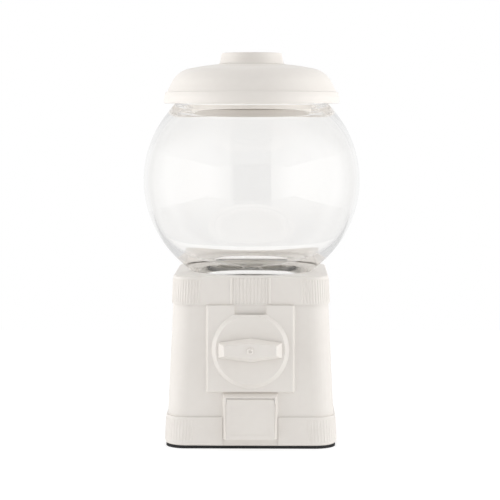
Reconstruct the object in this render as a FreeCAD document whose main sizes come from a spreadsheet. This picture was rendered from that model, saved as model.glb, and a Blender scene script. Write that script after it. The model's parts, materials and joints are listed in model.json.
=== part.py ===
"""Gumball machine as a parametric document: one object for each piece, in millimetres.

Frame: +Z up, the front faces -Y, and the origin is on the floor below the middle of the globe.
The front wall leans back, so what sits on it is drawn in a front frame: x across, "out" along the
wall's outward normal from its face, and "up" along the wall from the turning axis of the handle.
"""
import FreeCAD, Part

import math
import os
import re

import Sketcher
from FreeCAD import Placement, Rotation, Vector

SIZES = {
    # Base housing: half widths of the plain body at the floor and at the top
    "pad_thickness": 2.5,
    "pad_inset": 1.2,
    "base_height": 166.2,
    "body_half_low": 82.16,
    "body_half_high": 74.43,
    "corner_radius": 21.0,
    "shell_wall": 3.2,
    "roof_wall": 4.0,
    "top_band_height": 27.3,
    "top_band_proud": 1.0,
    "foot_band_height": 28.2,
    "foot_band_proud": 1.6,
    "band_edge": 0.8,
    "foot_round": 3.2,
    "top_round": 1.6,
    "flute_pitch": 3.55,
    "flute_radius": 1.5,
    "flute_depth": 0.6,
    "flute_margin": 1.2,
    "boss_radius": 5.5,
    "boss_inset": 11.2,
    "boss_height": 30.0,
    # Seat of the globe
    "throat_radius": 61.0,
    "throat_gap": 0.55,
    "throat_wall": 3.0,
    "seat_depth": 14.6,
    "ledge_thickness": 3.0,
    "ledge_radius": 46.5,
    "gasket_inner": 48.0,
    "gasket_outer": 58.0,
    "glass_gap": 0.3,
    # Globe
    "globe_radius": 108.1,
    "glass_wall": 4.0,
    "globe_land": 45.0,
    "globe_outlet": 38.0,
    "foot_swell": 8.0,
    "foot_turn": 28.0,
    "neck_radius": 70.5,
    "neck_swell": 3.7,
    "neck_turn": 13.0,
    "lip_radius": 76.5,
    "lip_height": 2.41,
    "lip_round": 1.2,
    "mouth_radius": 69.5,
    # Lid
    "lid_radius": 87.4,
    "rim_wall": 3.4,
    "rim_drop": 2.3,
    "rim_edge": 0.8,
    "rim_height": 11.6,
    "rim_slope_height": 4.6,
    "rim_slope": 1.2,
    "crease_radius": 84.4,
    "crease_depth": 0.6,
    "shoulder_radius": 79.0,
    "shoulder_height": 22.6,
    "shoulder_curve": 26.0,
    "crown_radius": 61.0,
    "crown_height": 34.8,
    "crown_curve": 250.0,
    "lid_height": 38.9,
    "lid_wall": 3.0,
    "skirt_radius": 60.0,
    "skirt_wall": 2.5,
    "skirt_drop": 5.5,
    # Knob of the lid and its screw
    "knob_foot": 33.0,
    "knob_low": 31.6,
    "knob_high": 29.9,
    "knob_height": 11.1,
    "knob_foot_height": 1.8,
    "knob_edge": 1.2,
    "knob_wall": 3.0,
    "knob_boss": 6.0,
    "lid_screw_radius": 2.5,
    "lid_screw_head": 4.5,
    "lid_screw_head_height": 2.6,
    "lid_washer_radius": 9.0,
    "lid_washer_thickness": 1.2,
    # Faceplate with its disc and coin recess
    "handle_height": 95.9,
    "plate_half": 43.0,
    "plate_draft": 2.2,
    "plate_raise": 3.5,
    "plate_low": 54.3,
    "joint_gap": 0.2,
    "disc_foot": 37.4,
    "disc_front": 33.4,
    "disc_raise": 4.0,
    "disc_wall": 2.5,
    "chamber_radius": 30.5,
    "recess_half": 15.35,
    "recess_foot": 34.0,
    "slot_floor": 1.3,
    "slot_half": 13.2,
    "slot_thickness": 3.0,
    "plate_screw_across": 36.0,
    "plate_screw_up": 34.0,
    # Turn handle
    "grip_gap": 0.5,
    "grip_raise": 10.9,
    "grip_half": 30.8,
    "grip_front_half": 25.2,
    "grip_middle": 11.8,
    "grip_front_middle": 7.3,
    "grip_end": 7.5,
    "grip_front_end": 4.9,
    "grip_bore": 8.0,
    # Shaft and what turns with it
    "shaft_radius": 3.5,
    "running_fit": 0.06,
    "seat_fit": 0.03,
    "bush_wall": 2.5,
    "coin_wheel_radius": 25.0,
    "coin_wheel_thickness": 3.4,
    "coin_wheel_gap": 0.8,
    "coin_pocket": 12.4,
    "coin_centre": 17.9,
    "ratchet_teeth": 14,
    "ratchet_root": 9.0,
    "ratchet_tip": 11.0,
    "ratchet_thickness": 3.0,
    "ratchet_gap": 2.8,
    "gear_radius": 38.5,
    "gear_teeth": 40,
    "gear_face": 6.0,
    "pinion_teeth": 10,
    "pinion_face": 4.0,
    "tooth_addendum": 1.6,
    "tooth_dedendum": 2.1,
    "tooth_flank": 0.42,
    "tooth_backlash": 0.9,
    "clip_radius": 6.0,
    "clip_gap": 0.6,
    "clip_thickness": 1.2,
    "shaft_tail": 1.5,
    # Click spring
    "leaf_thickness": 0.5,
    "leaf_width": 5.6,
    "leaf_reach": 32.0,
    "leaf_clear": 2.0,
    "leaf_tip": 1.6,
    "leaf_tab": 8.0,
    # Gumball wheel and hopper
    "wheel_radius": 43.2,
    "wheel_height": 16.8,
    "pocket_radius": 13.5,
    "pocket_centre": 21.5,
    "pocket_count": 4,
    "hopper_radius": 44.0,
    "hopper_wall": 2.5,
    "floor_thickness": 2.5,
    "floor_gap": 0.5,
    "groove_gap": 0.8,
    "flange_radius": 60.0,
    "flange_thickness": 3.0,
    "funnel_drop": 4.0,
    "drop_radius": 14.5,
    "drop_tube_wall": 2.0,
    "drop_tube_length": 2.0,
    "pinion_window": 13.0,
    "lug_half": 7.5,
    "lug_front": 30.0,
    "lug_length": 6.0,
    "lug_below": 8.0,
    "pivot_radius": 4.0,
    "pivot_head": 7.0,
    "pivot_head_height": 5.0,
    "pivot_stud": 2.5,
    "pivot_tail": 2.0,
    "pivot_play": 0.3,
    "nut_radius": 4.6,
    "nut_height": 4.0,
    "washer_radius": 9.0,
    "washer_thickness": 0.3,
    "hopper_screw_circle": 53.5,
    "guard_gap": 0.6,
    "guard_thickness": 1.6,
    "guard_edge": 9.0,
    "guard_height": 8.0,
    "rivet_up": 3.2,
    "rivet_radius": 1.2,
    "rivet_head": 2.2,
    "rivet_head_height": 1.2,
    # Chute
    "chute_low": 16.5,
    "chute_height": 31.0,
    "chute_half": 16.5,
    "chute_wall": 2.0,
    "chute_angle": 25.0,
    "chute_clear": 2.5,
    "chute_flange": 2.0,
    "chute_flange_half": 30.0,
    "chute_flange_margin": 4.0,
    # Spout and door
    "spout_half": 26.8,
    "spout_draft": 0.38,
    "spout_low": 9.8,
    "spout_top_out": 6.5,
    "spout_low_out": 12.0,
    "spout_roof_fall": 4.0,
    "spout_lip": 0.9,
    "spout_inner_half": 20.5,
    "spout_floor": 2.0,
    "door_half": 22.9,
    "door_thickness": 2.0,
    "door_gap": 0.3,
    "door_knuckle": 2.4,
    "door_pin_radius": 1.2,
    "door_pin_seat": 0.8,
    "door_panel_margin": 4.2,
    "door_panel_depth": 0.4,
    "spout_screw_across": 23.4,
    "spout_screw_height": 34.0,
    "spout_screw_depth": 3.0,
    # Bottom plate and coin plug
    "plate_thickness": 2.0,
    "plate_clear": 0.4,
    "plug_radius": 17.0,
    "plug_back": 38.0,
    "plug_height": 8.0,
    "plug_flange": 19.4,
    "plug_flange_thickness": 1.6,
    "plug_fit": 0.3,
    # Small machine screws
    "screw_radius": 1.5,
    "screw_head": 3.0,
    "screw_head_height": 1.6,
    "screw_hole": 0.1,
    "screw_depth": 12.0,
}

doc = FreeCAD.newDocument("gumball_machine")
sheet = doc.addObject("Spreadsheet::Sheet", "sizes")
for row, (alias, number) in enumerate(SIZES.items(), start=1):
    sheet.set(f"A{row}", alias)
    sheet.set(f"B{row}", str(number))
    sheet.setAlias(f"B{row}", alias)
doc.recompute()

NODES = []


def linked(text):
    """Expression with every size's name pointed at the sheet."""
    def point(word):
        return f"sizes.{word.group()}" if word.group() in SIZES else word.group()
    return re.sub(r"[a-z_]+", point, text)


def worth(text):
    """Number that an expression comes to now."""
    result = sheet.evalExpression(linked(text))
    return float(getattr(result, "Value", result))


def bind(item, expressions):
    """Tie properties of a document object to expressions of the sizes."""
    for name, text in expressions.items():
        item.setExpression(name, linked(text))
    return item


def moved(item, x="0", y="0", z="0"):
    """Tie an object's position, keeping its rotation."""
    return bind(item, {"Placement.Base.x": x, "Placement.Base.y": y, "Placement.Base.z": z})


def node(name, item):
    """Name a finished piece."""
    item.Label = name
    NODES.append(item)
    return item


# Places that several pieces share
SLOPE = "((body_half_low - body_half_high) / base_height)"
TILT = f"atan({SLOPE})"
WALL_OUT = f"(shell_wall * cos({TILT}))"


def half_at(height):
    """Half width of the plain body at a height."""
    return f"(body_half_low - {SLOPE} * ({height}))"


def up_at(height):
    """Distance along the front wall from the handle's axis to a height on the face."""
    return f"((({height}) - handle_height) / cos({TILT}))"


def inside_at(height):
    """Y of the front wall's inner face at a height."""
    return f"(shell_wall - {half_at(height)})"


FACE = half_at("handle_height")
LEDGE_Z = "(base_height - seat_depth)"
LEDGE_LOW = f"({LEDGE_Z} - ledge_thickness)"
GLOBE_Z = "(base_height + sqrt(globe_radius^2 - (throat_radius - throat_gap)^2))"
LIP_RISE = "sqrt(globe_radius^2 - lip_radius^2)"
LID_Z = f"({GLOBE_Z} + {LIP_RISE} + lip_height + glass_gap - rim_drop)"
PLATE_FRONT = "(plate_raise + disc_raise)"
GRIP_BACK = f"({PLATE_FRONT} + grip_gap)"
GRIP_FRONT = f"({GRIP_BACK} + grip_raise)"
PINION_RADIUS = "(gear_radius * pinion_teeth / gear_teeth)"
PINION_IN = f"(({FACE} - gear_radius) / cos({TILT}))"
PITCH_Z = f"(handle_height - ({FACE} - gear_radius) * {SLOPE} + {PINION_RADIUS} / cos({TILT}))"
WHEEL_Z = f"({PITCH_Z} + tooth_dedendum)"
FLOOR_Z = f"({WHEEL_Z} - floor_gap)"
FLOOR_LOW = f"({FLOOR_Z} - floor_thickness)"
GROOVE_Z = f"({PITCH_Z} - tooth_addendum - groove_gap)"
GROOVE_LOW = f"({GROOVE_Z} - floor_thickness)"
GROOVE_INNER = "(gear_radius - gear_face / 2 - groove_gap)"
LUG_BACK = f"(({FACE} - lug_front + lug_length) / cos({TILT}))"
SPOUT_TOP = f"({up_at('plate_low')} - joint_gap)"
SPOUT_LOW = up_at("spout_low")
LIP_UP = f"({SPOUT_TOP} - spout_roof_fall)"
FRONT_RUN = f"((spout_low_out - spout_top_out) / ({LIP_UP} - {SPOUT_LOW}))"
DOOR_BACK = "(door_thickness + door_gap)"


def door_out(up):
    """How far out the door's front face lies at a place up the wall."""
    return f"(spout_top_out + ({LIP_UP} - ({up})) * {FRONT_RUN})"


HINGE_UP = f"({LIP_UP} - spout_lip - door_gap - door_knuckle)"
HINGE_OUT = f"({door_out(HINGE_UP)} - door_knuckle * sqrt(1 + {FRONT_RUN}^2))"

# Solids and sketches
TURN_TO = {"X": Rotation(Vector(0, 1, 0), 90), "Y": Rotation(Vector(1, 0, 0), -90), "Z": Rotation()}


def box(name, x, y, z):
    """Box between pairs of coordinates."""
    item = doc.addObject("Part::Box", name)
    sides = {"Length": x, "Width": y, "Height": z}
    bind(item, {side: f"({high}) - ({low})" for side, (low, high) in sides.items()})
    return moved(item, x[0], y[0], z[0])


def rod(name, axis, centre, span, radius, end_radius=None):
    """Cylinder, or cone, along an axis through a centre given by the other two coordinates."""
    item = doc.addObject("Part::Cylinder" if end_radius is None else "Part::Cone", name)
    item.Placement = Placement(Vector(), TURN_TO[axis])
    radii = {"Radius": radius} if end_radius is None else {"Radius1": radius, "Radius2": end_radius}
    bind(item, {**radii, "Height": f"({span[1]}) - ({span[0]})"})
    place = list(centre)
    place.insert("XYZ".index(axis), span[0])
    return moved(item, *place)


def fuse(name, *items):
    """Union of solids."""
    item = doc.addObject("Part::MultiFuse", name)
    item.Shapes = list(items)
    return item


def cut(name, base, *tools):
    """A solid less one or more others."""
    item = doc.addObject("Part::Cut", name)
    item.Base = base
    item.Tool = tools[0] if len(tools) == 1 else fuse(f"{name}_cuts", *tools)
    return item


def group(name, *items):
    """Separate solids that make one node."""
    item = doc.addObject("Part::Compound", name)
    item.Links = list(items)
    return item


def front_box(name, x, out, up):
    """Box in the front frame."""
    return box(name, x, (f"-({out[1]})", f"-({out[0]})"), up)


def front_rod(name, centre, out, radius, end_radius=None):
    """Cylinder or cone along the front frame's outward axis, from its inner end outwards."""
    if end_radius is None:
        return rod(name, "Y", centre, (f"-({out[1]})", f"-({out[0]})"), radius)
    return rod(name, "Y", centre, (f"-({out[1]})", f"-({out[0]})"), end_radius, radius)


def on_front(item):
    """Place what is drawn in the front frame on the leaning wall."""
    item.Placement = Placement(Vector(), Rotation(Vector(-1, 0, 0), 1))
    moved(item, "0", f"-{FACE}", "handle_height")
    return bind(item, {"Placement.Rotation.Angle": TILT})


def draw(sketch, points, arcs=None):
    """Draw a closed outline through points and tie each point and radius to its expression.

    arcs maps the number of a span to its radius and to 1 if it turns left or -1 if it turns right.
    """
    arcs = arcs or {}
    places = [Vector(worth(x), worth(y), 0) for x, y in points]
    starts = []
    for index, start in enumerate(places):
        end = places[(index + 1) % len(places)]
        if index not in arcs:
            sketch.addGeometry(Part.LineSegment(start, end))
            starts.append(1)
            continue
        radius = worth(arcs[index][0])
        side = arcs[index][1]
        chord = end - start
        height = math.sqrt(radius ** 2 - chord.Length ** 2 / 4)
        left = Vector(-chord.y, chord.x, 0).normalize()
        centre = (start + end) * 0.5 + left * (height * side)
        first, last = (start, end) if side > 0 else (end, start)
        angles = [math.atan2(p.y - centre.y, p.x - centre.x) for p in (first, last)]
        sketch.addGeometry(Part.ArcOfCircle(Part.Circle(centre, Vector(0, 0, 1), radius), *angles))
        starts.append(1 if side > 0 else 2)
    for index, (x, y) in enumerate(points):
        after = (index + 1) % len(points)
        sketch.addConstraint(
            Sketcher.Constraint("Coincident", index, 3 - starts[index], after, starts[after]))
        for kind, text in (("DistanceX", x), ("DistanceY", y)):
            sketch.addConstraint(
                Sketcher.Constraint(kind, -1, 1, index, starts[index], worth(text)))
            number = sketch.ConstraintCount - 1
            bind(sketch, {f"Constraints[{number}]": text})
    for index, (radius, _) in arcs.items():
        sketch.addConstraint(Sketcher.Constraint("Radius", index, worth(radius)))
        bind(sketch, {f"Constraints[{sketch.ConstraintCount - 1}]": radius})
    return sketch


def draw_circle(sketch, x, y, radius):
    """Draw a circle and tie its centre and radius."""
    centre = Vector(worth(x), worth(y), 0)
    index = sketch.addGeometry(Part.Circle(centre, Vector(0, 0, 1), worth(radius)))
    ties = (("DistanceX", x), ("DistanceY", y))
    for kind, text in ties:
        sketch.addConstraint(Sketcher.Constraint(kind, -1, 1, index, 3, worth(text)))
        bind(sketch, {f"Constraints[{sketch.ConstraintCount - 1}]": text})
    sketch.addConstraint(Sketcher.Constraint("Radius", index, worth(radius)))
    bind(sketch, {f"Constraints[{sketch.ConstraintCount - 1}]": radius})
    return sketch


def new_body(name):
    """Empty body."""
    return doc.addObject("PartDesign::Body", name)


def sketch_in(body, name, plane, offset="0", turn="0"):
    """Sketch on one of a body's origin planes, shifted along its normal and turned in its plane."""
    sketch = body.newObject("Sketcher::SketchObject", name)
    support = [item for item in body.Origin.OriginFeatures if item.Role == plane]
    sketch.AttachmentSupport = (support[0], [""])
    sketch.MapMode = "FlatFace"
    sketch.AttachmentOffset = Placement(Vector(), Rotation(Vector(0, 0, 1), 1))
    bind(sketch, {"AttachmentOffset.Base.z": offset, "AttachmentOffset.Rotation.Angle": turn})
    return sketch


def pad(body, name, sketch, length, symmetric=False):
    """Pad a sketch along its normal."""
    feature = body.newObject("PartDesign::Pad", name)
    feature.Profile = sketch
    feature.SideType = "Symmetric" if symmetric else "One side"
    return bind(feature, {"Length": length})


def pocket(body, name, sketch, length, symmetric=False):
    """Cut a sketch out along its normal."""
    feature = body.newObject("PartDesign::Pocket", name)
    feature.Profile = sketch
    feature.SideType = "Symmetric" if symmetric else "One side"
    feature.Reversed = True
    return bind(feature, {"Length": length})


def around(body, name, original, sketch, count):
    """Repeat a feature around the normal of its sketch."""
    feature = body.newObject("PartDesign::PolarPattern", name)
    feature.Originals = [original]
    feature.Axis = (sketch, ["N_Axis"])
    feature.Angle = 360
    bind(feature, {"Occurrences": count})
    body.Tip = feature
    return feature


def lathe(name, points, arcs=None, height="0"):
    """Body turned about the vertical axis from a half section."""
    body = new_body(name)
    sketch = draw(sketch_in(body, f"{name}_section", "XZ_Plane"), points, arcs)
    turned = body.newObject("PartDesign::Revolution", f"{name}_turned")
    turned.Profile = sketch
    turned.ReferenceAxis = (sketch, ["V_Axis"])
    turned.Angle = 360
    return moved(body, z=height)


def side_slab(name, points, width, arcs=None):
    """Body with a side outline in Y and Z, as wide as given, about the middle plane."""
    body = new_body(name)
    sketch = draw(sketch_in(body, f"{name}_side", "YZ_Plane"), points, arcs)
    pad(body, f"{name}_slab", sketch, width, symmetric=True)
    return body


def front_points(pairs):
    """Side outline given as out and up, in a body's Y and Z."""
    return [(f"-({out})", up) for out, up in pairs]


def square_section(name, half, radius, height):
    """Rounded square at a height."""
    flat = f"(({half}) - ({radius}))"
    points = [
        (flat, f"-({half})"), (half, f"-{flat}"), (half, flat), (flat, half),
        (f"-{flat}", half), (f"-({half})", flat), (f"-({half})", f"-{flat}"), (f"-{flat}", f"-({half})"),
    ]
    sketch = doc.addObject("Sketcher::SketchObject", name)
    draw(sketch, points, {span: (radius, 1) for span in range(0, 8, 2)})
    return moved(sketch, z=height)


def square_loft(name, *sections):
    """Solid with straight sides through rounded squares given as half width, radius and height."""
    loft = doc.addObject("Part::Loft", name)
    loft.Sections = [
        square_section(f"{name}_{index}", *section) for index, section in enumerate(sections)]
    loft.Solid = True
    loft.Ruled = True
    return loft


def machine_screw(name, centre, head_from, length):
    """Pan head screw in the front frame whose head bears on a face inside and points out."""
    head = front_rod(f"{name}_head", centre, (f"{head_from} - screw_head_height", head_from), "screw_head")
    shank = front_rod(f"{name}_shank", centre, (head_from, f"{head_from} + {length}"), "screw_radius")
    return fuse(name, head, shank)


SCREW_HOLE = "(screw_radius + screw_hole)"
SIDES = (("left", "-"), ("right", ""))
CORNERS = [(f"{a}_{b}", x, y) for a, x in SIDES for b, y in (("front", "-"), ("back", ""))]
RIVET_HOLE = "(rivet_radius + screw_hole)"
BOSS_LOW = "(pad_thickness + plate_thickness)"
BOSS_TOP = f"({BOSS_LOW} + boss_height)"
BOSS_AT = f"({half_at(BOSS_TOP)} - boss_inset)"
LEAF_LOW = "(ratchet_tip + leaf_clear)"
LEAF_SCREW = ("leaf_tab / 2 - leaf_reach", f"{LEAF_LOW} + (leaf_tab + leaf_thickness) / 2")
PLATE_SCREWS = [(f"{a}_{b}", f"{x}plate_screw_across", f"{up}plate_screw_up")
                for a, x in SIDES for b, up in (("low", "-"), ("high", ""))]
HOPPER_SCREW_ANGLES = (30, 150, 270)


def banded(proud, height):
    """Half width of a band that stands proud of the plain body."""
    return f"({half_at(height)} + {proud})"


ROUND_STEPS = (0, 30, 60, 90)


def rounded_edge(proud, radius, turn, level, lift):
    """Section of a band where its edge has turned by an angle from level to upright."""
    height = f"({level} + {lift})"
    inset = f"{radius} * (1 - sin({turn}))"
    return f"({banded(proud, height)} - {inset})", f"(corner_radius - {inset})", height


def housing():
    """Cast base: tapered square shell with two bands, a throat for the globe and front openings."""
    low = "pad_thickness"
    high = "base_height"
    foot_top = "(pad_thickness + foot_band_height)"
    top_low = "(base_height - top_band_height)"
    foot_middle = "(pad_thickness + foot_band_height / 2)"
    plain_top = f"({top_low} + band_edge)"
    plain = square_loft("plain_body", (half_at(foot_middle), "corner_radius", foot_middle),
                        (half_at(plain_top), "corner_radius", plain_top))
    foot = square_loft(
        "foot_band",
        *[rounded_edge("foot_band_proud", "foot_round", turn, low, f"foot_round * (1 - cos({turn}))")
          for turn in ROUND_STEPS],
        (banded("foot_band_proud", foot_top), "corner_radius", f"{foot_top} - band_edge / 2"),
        (f"{banded('foot_band_proud', foot_top)} - band_edge / 2", "corner_radius - band_edge / 2", foot_top))
    spout_gap = on_front(group("spout_gap", front_box(
        "spout_gap_box", ("-spout_half", "spout_half"), ("0", "4 * foot_band_proud"),
        (up_at("-pad_thickness"), up_at(f"{foot_top} + foot_band_proud")))))
    top = square_loft(
        "top_band",
        (banded("top_band_proud", top_low), "corner_radius", top_low),
        *[rounded_edge("top_band_proud", "top_round", turn, high, f"-top_round * (1 - cos({turn}))")
          for turn in reversed(ROUND_STEPS)])
    outer = fuse("outer_form", plain, cut("foot_band_gap", foot, spout_gap), top)
    inner_radius = "(corner_radius - shell_wall)"
    roof = "(base_height - roof_wall)"
    cavity = square_loft("cavity", (f"{half_at(low)} - shell_wall", inner_radius, low),
                         (f"{half_at(roof)} - shell_wall", inner_radius, roof))
    mouth = rod("throat_hole", "Z", ("0", "0"), (f"{roof} - roof_wall", "base_height + roof_wall"),
                "throat_radius")
    shell = cut("shell", outer, cavity, mouth)
    throat_outer = "(throat_radius + throat_wall)"
    throat = lathe("throat", [
        ("ledge_radius", LEDGE_LOW), (throat_outer, LEDGE_LOW), (throat_outer, f"{roof} + roof_wall / 2"),
        ("throat_radius", f"{roof} + roof_wall / 2"), ("throat_radius", LEDGE_Z), ("ledge_radius", LEDGE_Z)])
    bosses = []
    holes = []
    for name, x, y in CORNERS:
        centre = (f"{x}{BOSS_AT}", f"{y}{BOSS_AT}")
        bosses.append(rod(f"boss_{name}", "Z", centre, (BOSS_LOW, BOSS_TOP), "boss_radius"))
        holes.append(rod(f"boss_hole_{name}", "Z", centre, (low, f"{BOSS_LOW} + screw_depth"), SCREW_HOLE))
    for angle in HOPPER_SCREW_ANGLES:
        holes.append(hopper_screw_rod(f"ledge_hole_{angle}", angle, (LEDGE_LOW, LEDGE_Z), SCREW_HOLE))
    body = fuse("housing_body", shell, throat, *bosses)
    return node("housing", fuse("housing", cut("housing_cut", body, front_openings(), *holes), flutes()))


def front_openings():
    """Everything cut through the front wall and the recess of the fluted panel."""
    through = (f"-2 * {WALL_OUT}", "plate_raise")
    middle = ("0", "0")
    tools = [
        front_rod("shaft_opening", middle, through, "shaft_radius + bush_wall"),
        front_box("coin_drop", ("-slot_half", "slot_half"), through,
                  ("coin_pocket / 2 - chamber_radius - coin_pocket / 4", "-coin_pocket")),
        front_box("chute_opening", ("-chute_half", "chute_half"), through,
                  (up_at("chute_low"), up_at("chute_low + chute_height"))),
        front_box("flute_recess", ("-recess_half - flute_radius", "recess_half + flute_radius"),
                  ("top_band_proud - flute_depth", "top_band_proud + flute_depth"), FLUTE_SPAN),
    ]
    tools.append(front_rod("leaf_screw_hole", LEAF_SCREW, through, SCREW_HOLE))
    for name, x, up in PLATE_SCREWS:
        tools.append(front_rod(f"plate_hole_{name}", (x, up), through, SCREW_HOLE))
    for name, sign in SIDES:
        centre = (f"{sign}spout_screw_across", up_at("spout_screw_height"))
        tools.append(front_rod(f"spout_hole_{name}", centre, through, SCREW_HOLE))
    return on_front(fuse("front_openings", *tools))


FLUTE_SPAN = (up_at("base_height - top_band_height + flute_margin"), up_at("base_height - flute_margin"))


def flutes():
    """Row of half round upright ridges in the recess of the top band."""
    count = 2 * int(worth("recess_half / flute_pitch")) + 2
    ridges = []
    for index in range(count):
        x = f"{index - (count - 1) / 2} * flute_pitch"
        out = "(top_band_proud - flute_radius)"
        ridges.append(rod(f"flute_{index}", "Z", (x, f"-{out}"), FLUTE_SPAN, "flute_radius"))
    return on_front(fuse("flutes", *ridges))


def hopper_screw_rod(name, angle, span, radius):
    """Upright cylinder on the circle of the hopper's screws."""
    centre = (f"hopper_screw_circle * cos({angle})", f"hopper_screw_circle * sin({angle})")
    return rod(name, "Z", centre, span, radius)


def globe_and_gasket():
    """Glass sphere with a thick ground foot and lip, and the rubber ring that it sits on."""
    inner = "(globe_radius - glass_wall)"
    foot = "-sqrt(globe_radius^2 - globe_land^2)"
    lip_top = f"({LIP_RISE} + lip_height)"
    swell_up = f"(foot_swell - sqrt({inner}^2 - globe_outlet^2))"
    swell_short = f"(globe_outlet * cos(foot_turn) - {swell_up} * sin(foot_turn) - {inner})"
    swell_shift = f"((globe_outlet^2 + {swell_up}^2 - {inner}^2) / (2 * {swell_short}))"
    neck_up = f"(sqrt({inner}^2 - neck_radius^2) - neck_swell)"
    neck_short = f"(neck_radius * cos(neck_turn) + {neck_up} * sin(neck_turn) - {inner})"
    neck_shift = f"((neck_radius^2 + {neck_up}^2 - {inner}^2) / (2 * {neck_short}))"
    node("globe", lathe("globe", [
        ("globe_land", foot),
        ("lip_radius", LIP_RISE),
        ("lip_radius", f"{lip_top} - lip_round"),
        ("lip_radius - lip_round", lip_top),
        ("mouth_radius + lip_round", lip_top),
        ("mouth_radius", f"{lip_top} - lip_round"),
        ("neck_radius", neck_up),
        (f"{inner} * cos(neck_turn)", f"{inner} * sin(neck_turn)"),
        (f"{inner} * cos(foot_turn)", f"-{inner} * sin(foot_turn)"),
        ("globe_outlet", swell_up),
        ("globe_outlet", foot),
    ], {0: ("globe_radius", 1), 2: ("lip_round", 1), 4: ("lip_round", 1),
        6: (f"({inner} - {neck_shift})", -1), 7: (inner, -1), 8: (f"({inner} - {swell_shift})", -1)}, GLOBE_Z))
    clear = "(globe_radius + glass_gap)"
    node("globe_gasket", lathe("globe_gasket", [
        ("gasket_inner", LEDGE_Z), ("gasket_outer", LEDGE_Z),
        ("gasket_outer", f"{GLOBE_Z} - sqrt({clear}^2 - gasket_outer^2)"),
        ("gasket_inner", f"{GLOBE_Z} - sqrt({clear}^2 - gasket_inner^2)"),
    ], {2: (clear, -1)}))


def lid_and_knob():
    """Domed lid with rim, seat and skirt, and its knob held by a screw from below."""
    inner_rim = "(lid_radius - rim_wall)"
    seat_top = "(rim_drop + lid_wall)"
    inner_crease = "(crease_radius - lid_wall)"
    inner_top = "(lid_height - lid_wall)"
    screw_hole = "(lid_screw_radius + screw_hole)"
    inner_skirt = "(skirt_radius - skirt_wall)"
    node("lid", lathe("lid", [
        (inner_rim, "0"),
        ("lid_radius - rim_edge", "0"),
        ("lid_radius", "rim_edge"),
        ("lid_radius", "rim_height - rim_slope_height"),
        ("lid_radius - rim_slope", "rim_height - crease_depth"),
        ("crease_radius", "rim_height"),
        ("shoulder_radius", "shoulder_height"),
        ("crown_radius", "crown_height"),
        ("knob_foot", "lid_height"),
        (screw_hole, "lid_height"),
        (screw_hole, inner_top),
        ("knob_foot", inner_top),
        ("crown_radius - lid_wall / 4", "crown_height - lid_wall"),
        ("shoulder_radius - lid_wall", "shoulder_height - lid_wall / 2"),
        (inner_crease, "rim_height"),
        (inner_crease, seat_top),
        (inner_skirt, seat_top),
        (inner_skirt, "-skirt_drop"),
        ("skirt_radius", "-skirt_drop"),
        ("skirt_radius", "rim_drop"),
        (inner_rim, "rim_drop"),
    ], {1: ("rim_edge", 1), 6: ("shoulder_curve", 1), 7: ("crown_curve", 1),
        11: ("crown_curve - lid_wall", -1), 12: ("shoulder_curve - lid_wall", -1)}, LID_Z))
    roof = "(knob_height - knob_wall)"
    knob_z = f"({LID_Z} + lid_height)"
    node("lid_knob", lathe("lid_knob", [
        ("knob_foot", "0"),
        ("knob_low", "knob_foot_height"),
        ("knob_high", "knob_height - knob_edge"),
        ("knob_high - knob_edge", "knob_height"),
        ("0", "knob_height"),
        ("0", roof),
        ("lid_screw_radius + seat_fit", roof),
        ("lid_screw_radius + seat_fit", "0"),
        ("knob_boss", "0"),
        ("knob_boss", roof),
        ("knob_high - knob_wall", roof),
        ("knob_low - knob_wall", "0"),
    ], {2: ("knob_edge", 1)}, knob_z))
    washer_top = f"({LID_Z} + {inner_top})"
    washer_low = f"({washer_top} - lid_washer_thickness)"
    node("lid_washer", lathe("lid_washer", [
        (screw_hole, washer_low), ("lid_washer_radius", washer_low),
        ("lid_washer_radius", washer_top), (screw_hole, washer_top)]))
    head = rod("lid_screw_head", "Z", ("0", "0"), (f"{washer_low} - lid_screw_head_height", washer_low),
               "lid_screw_head")
    shank = rod("lid_screw_shank", "Z", ("0", "0"), (washer_low, f"{knob_z} + {roof} - joint_gap"),
                "lid_screw_radius")
    node("lid_screw", fuse("lid_screw", head, shank))


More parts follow.
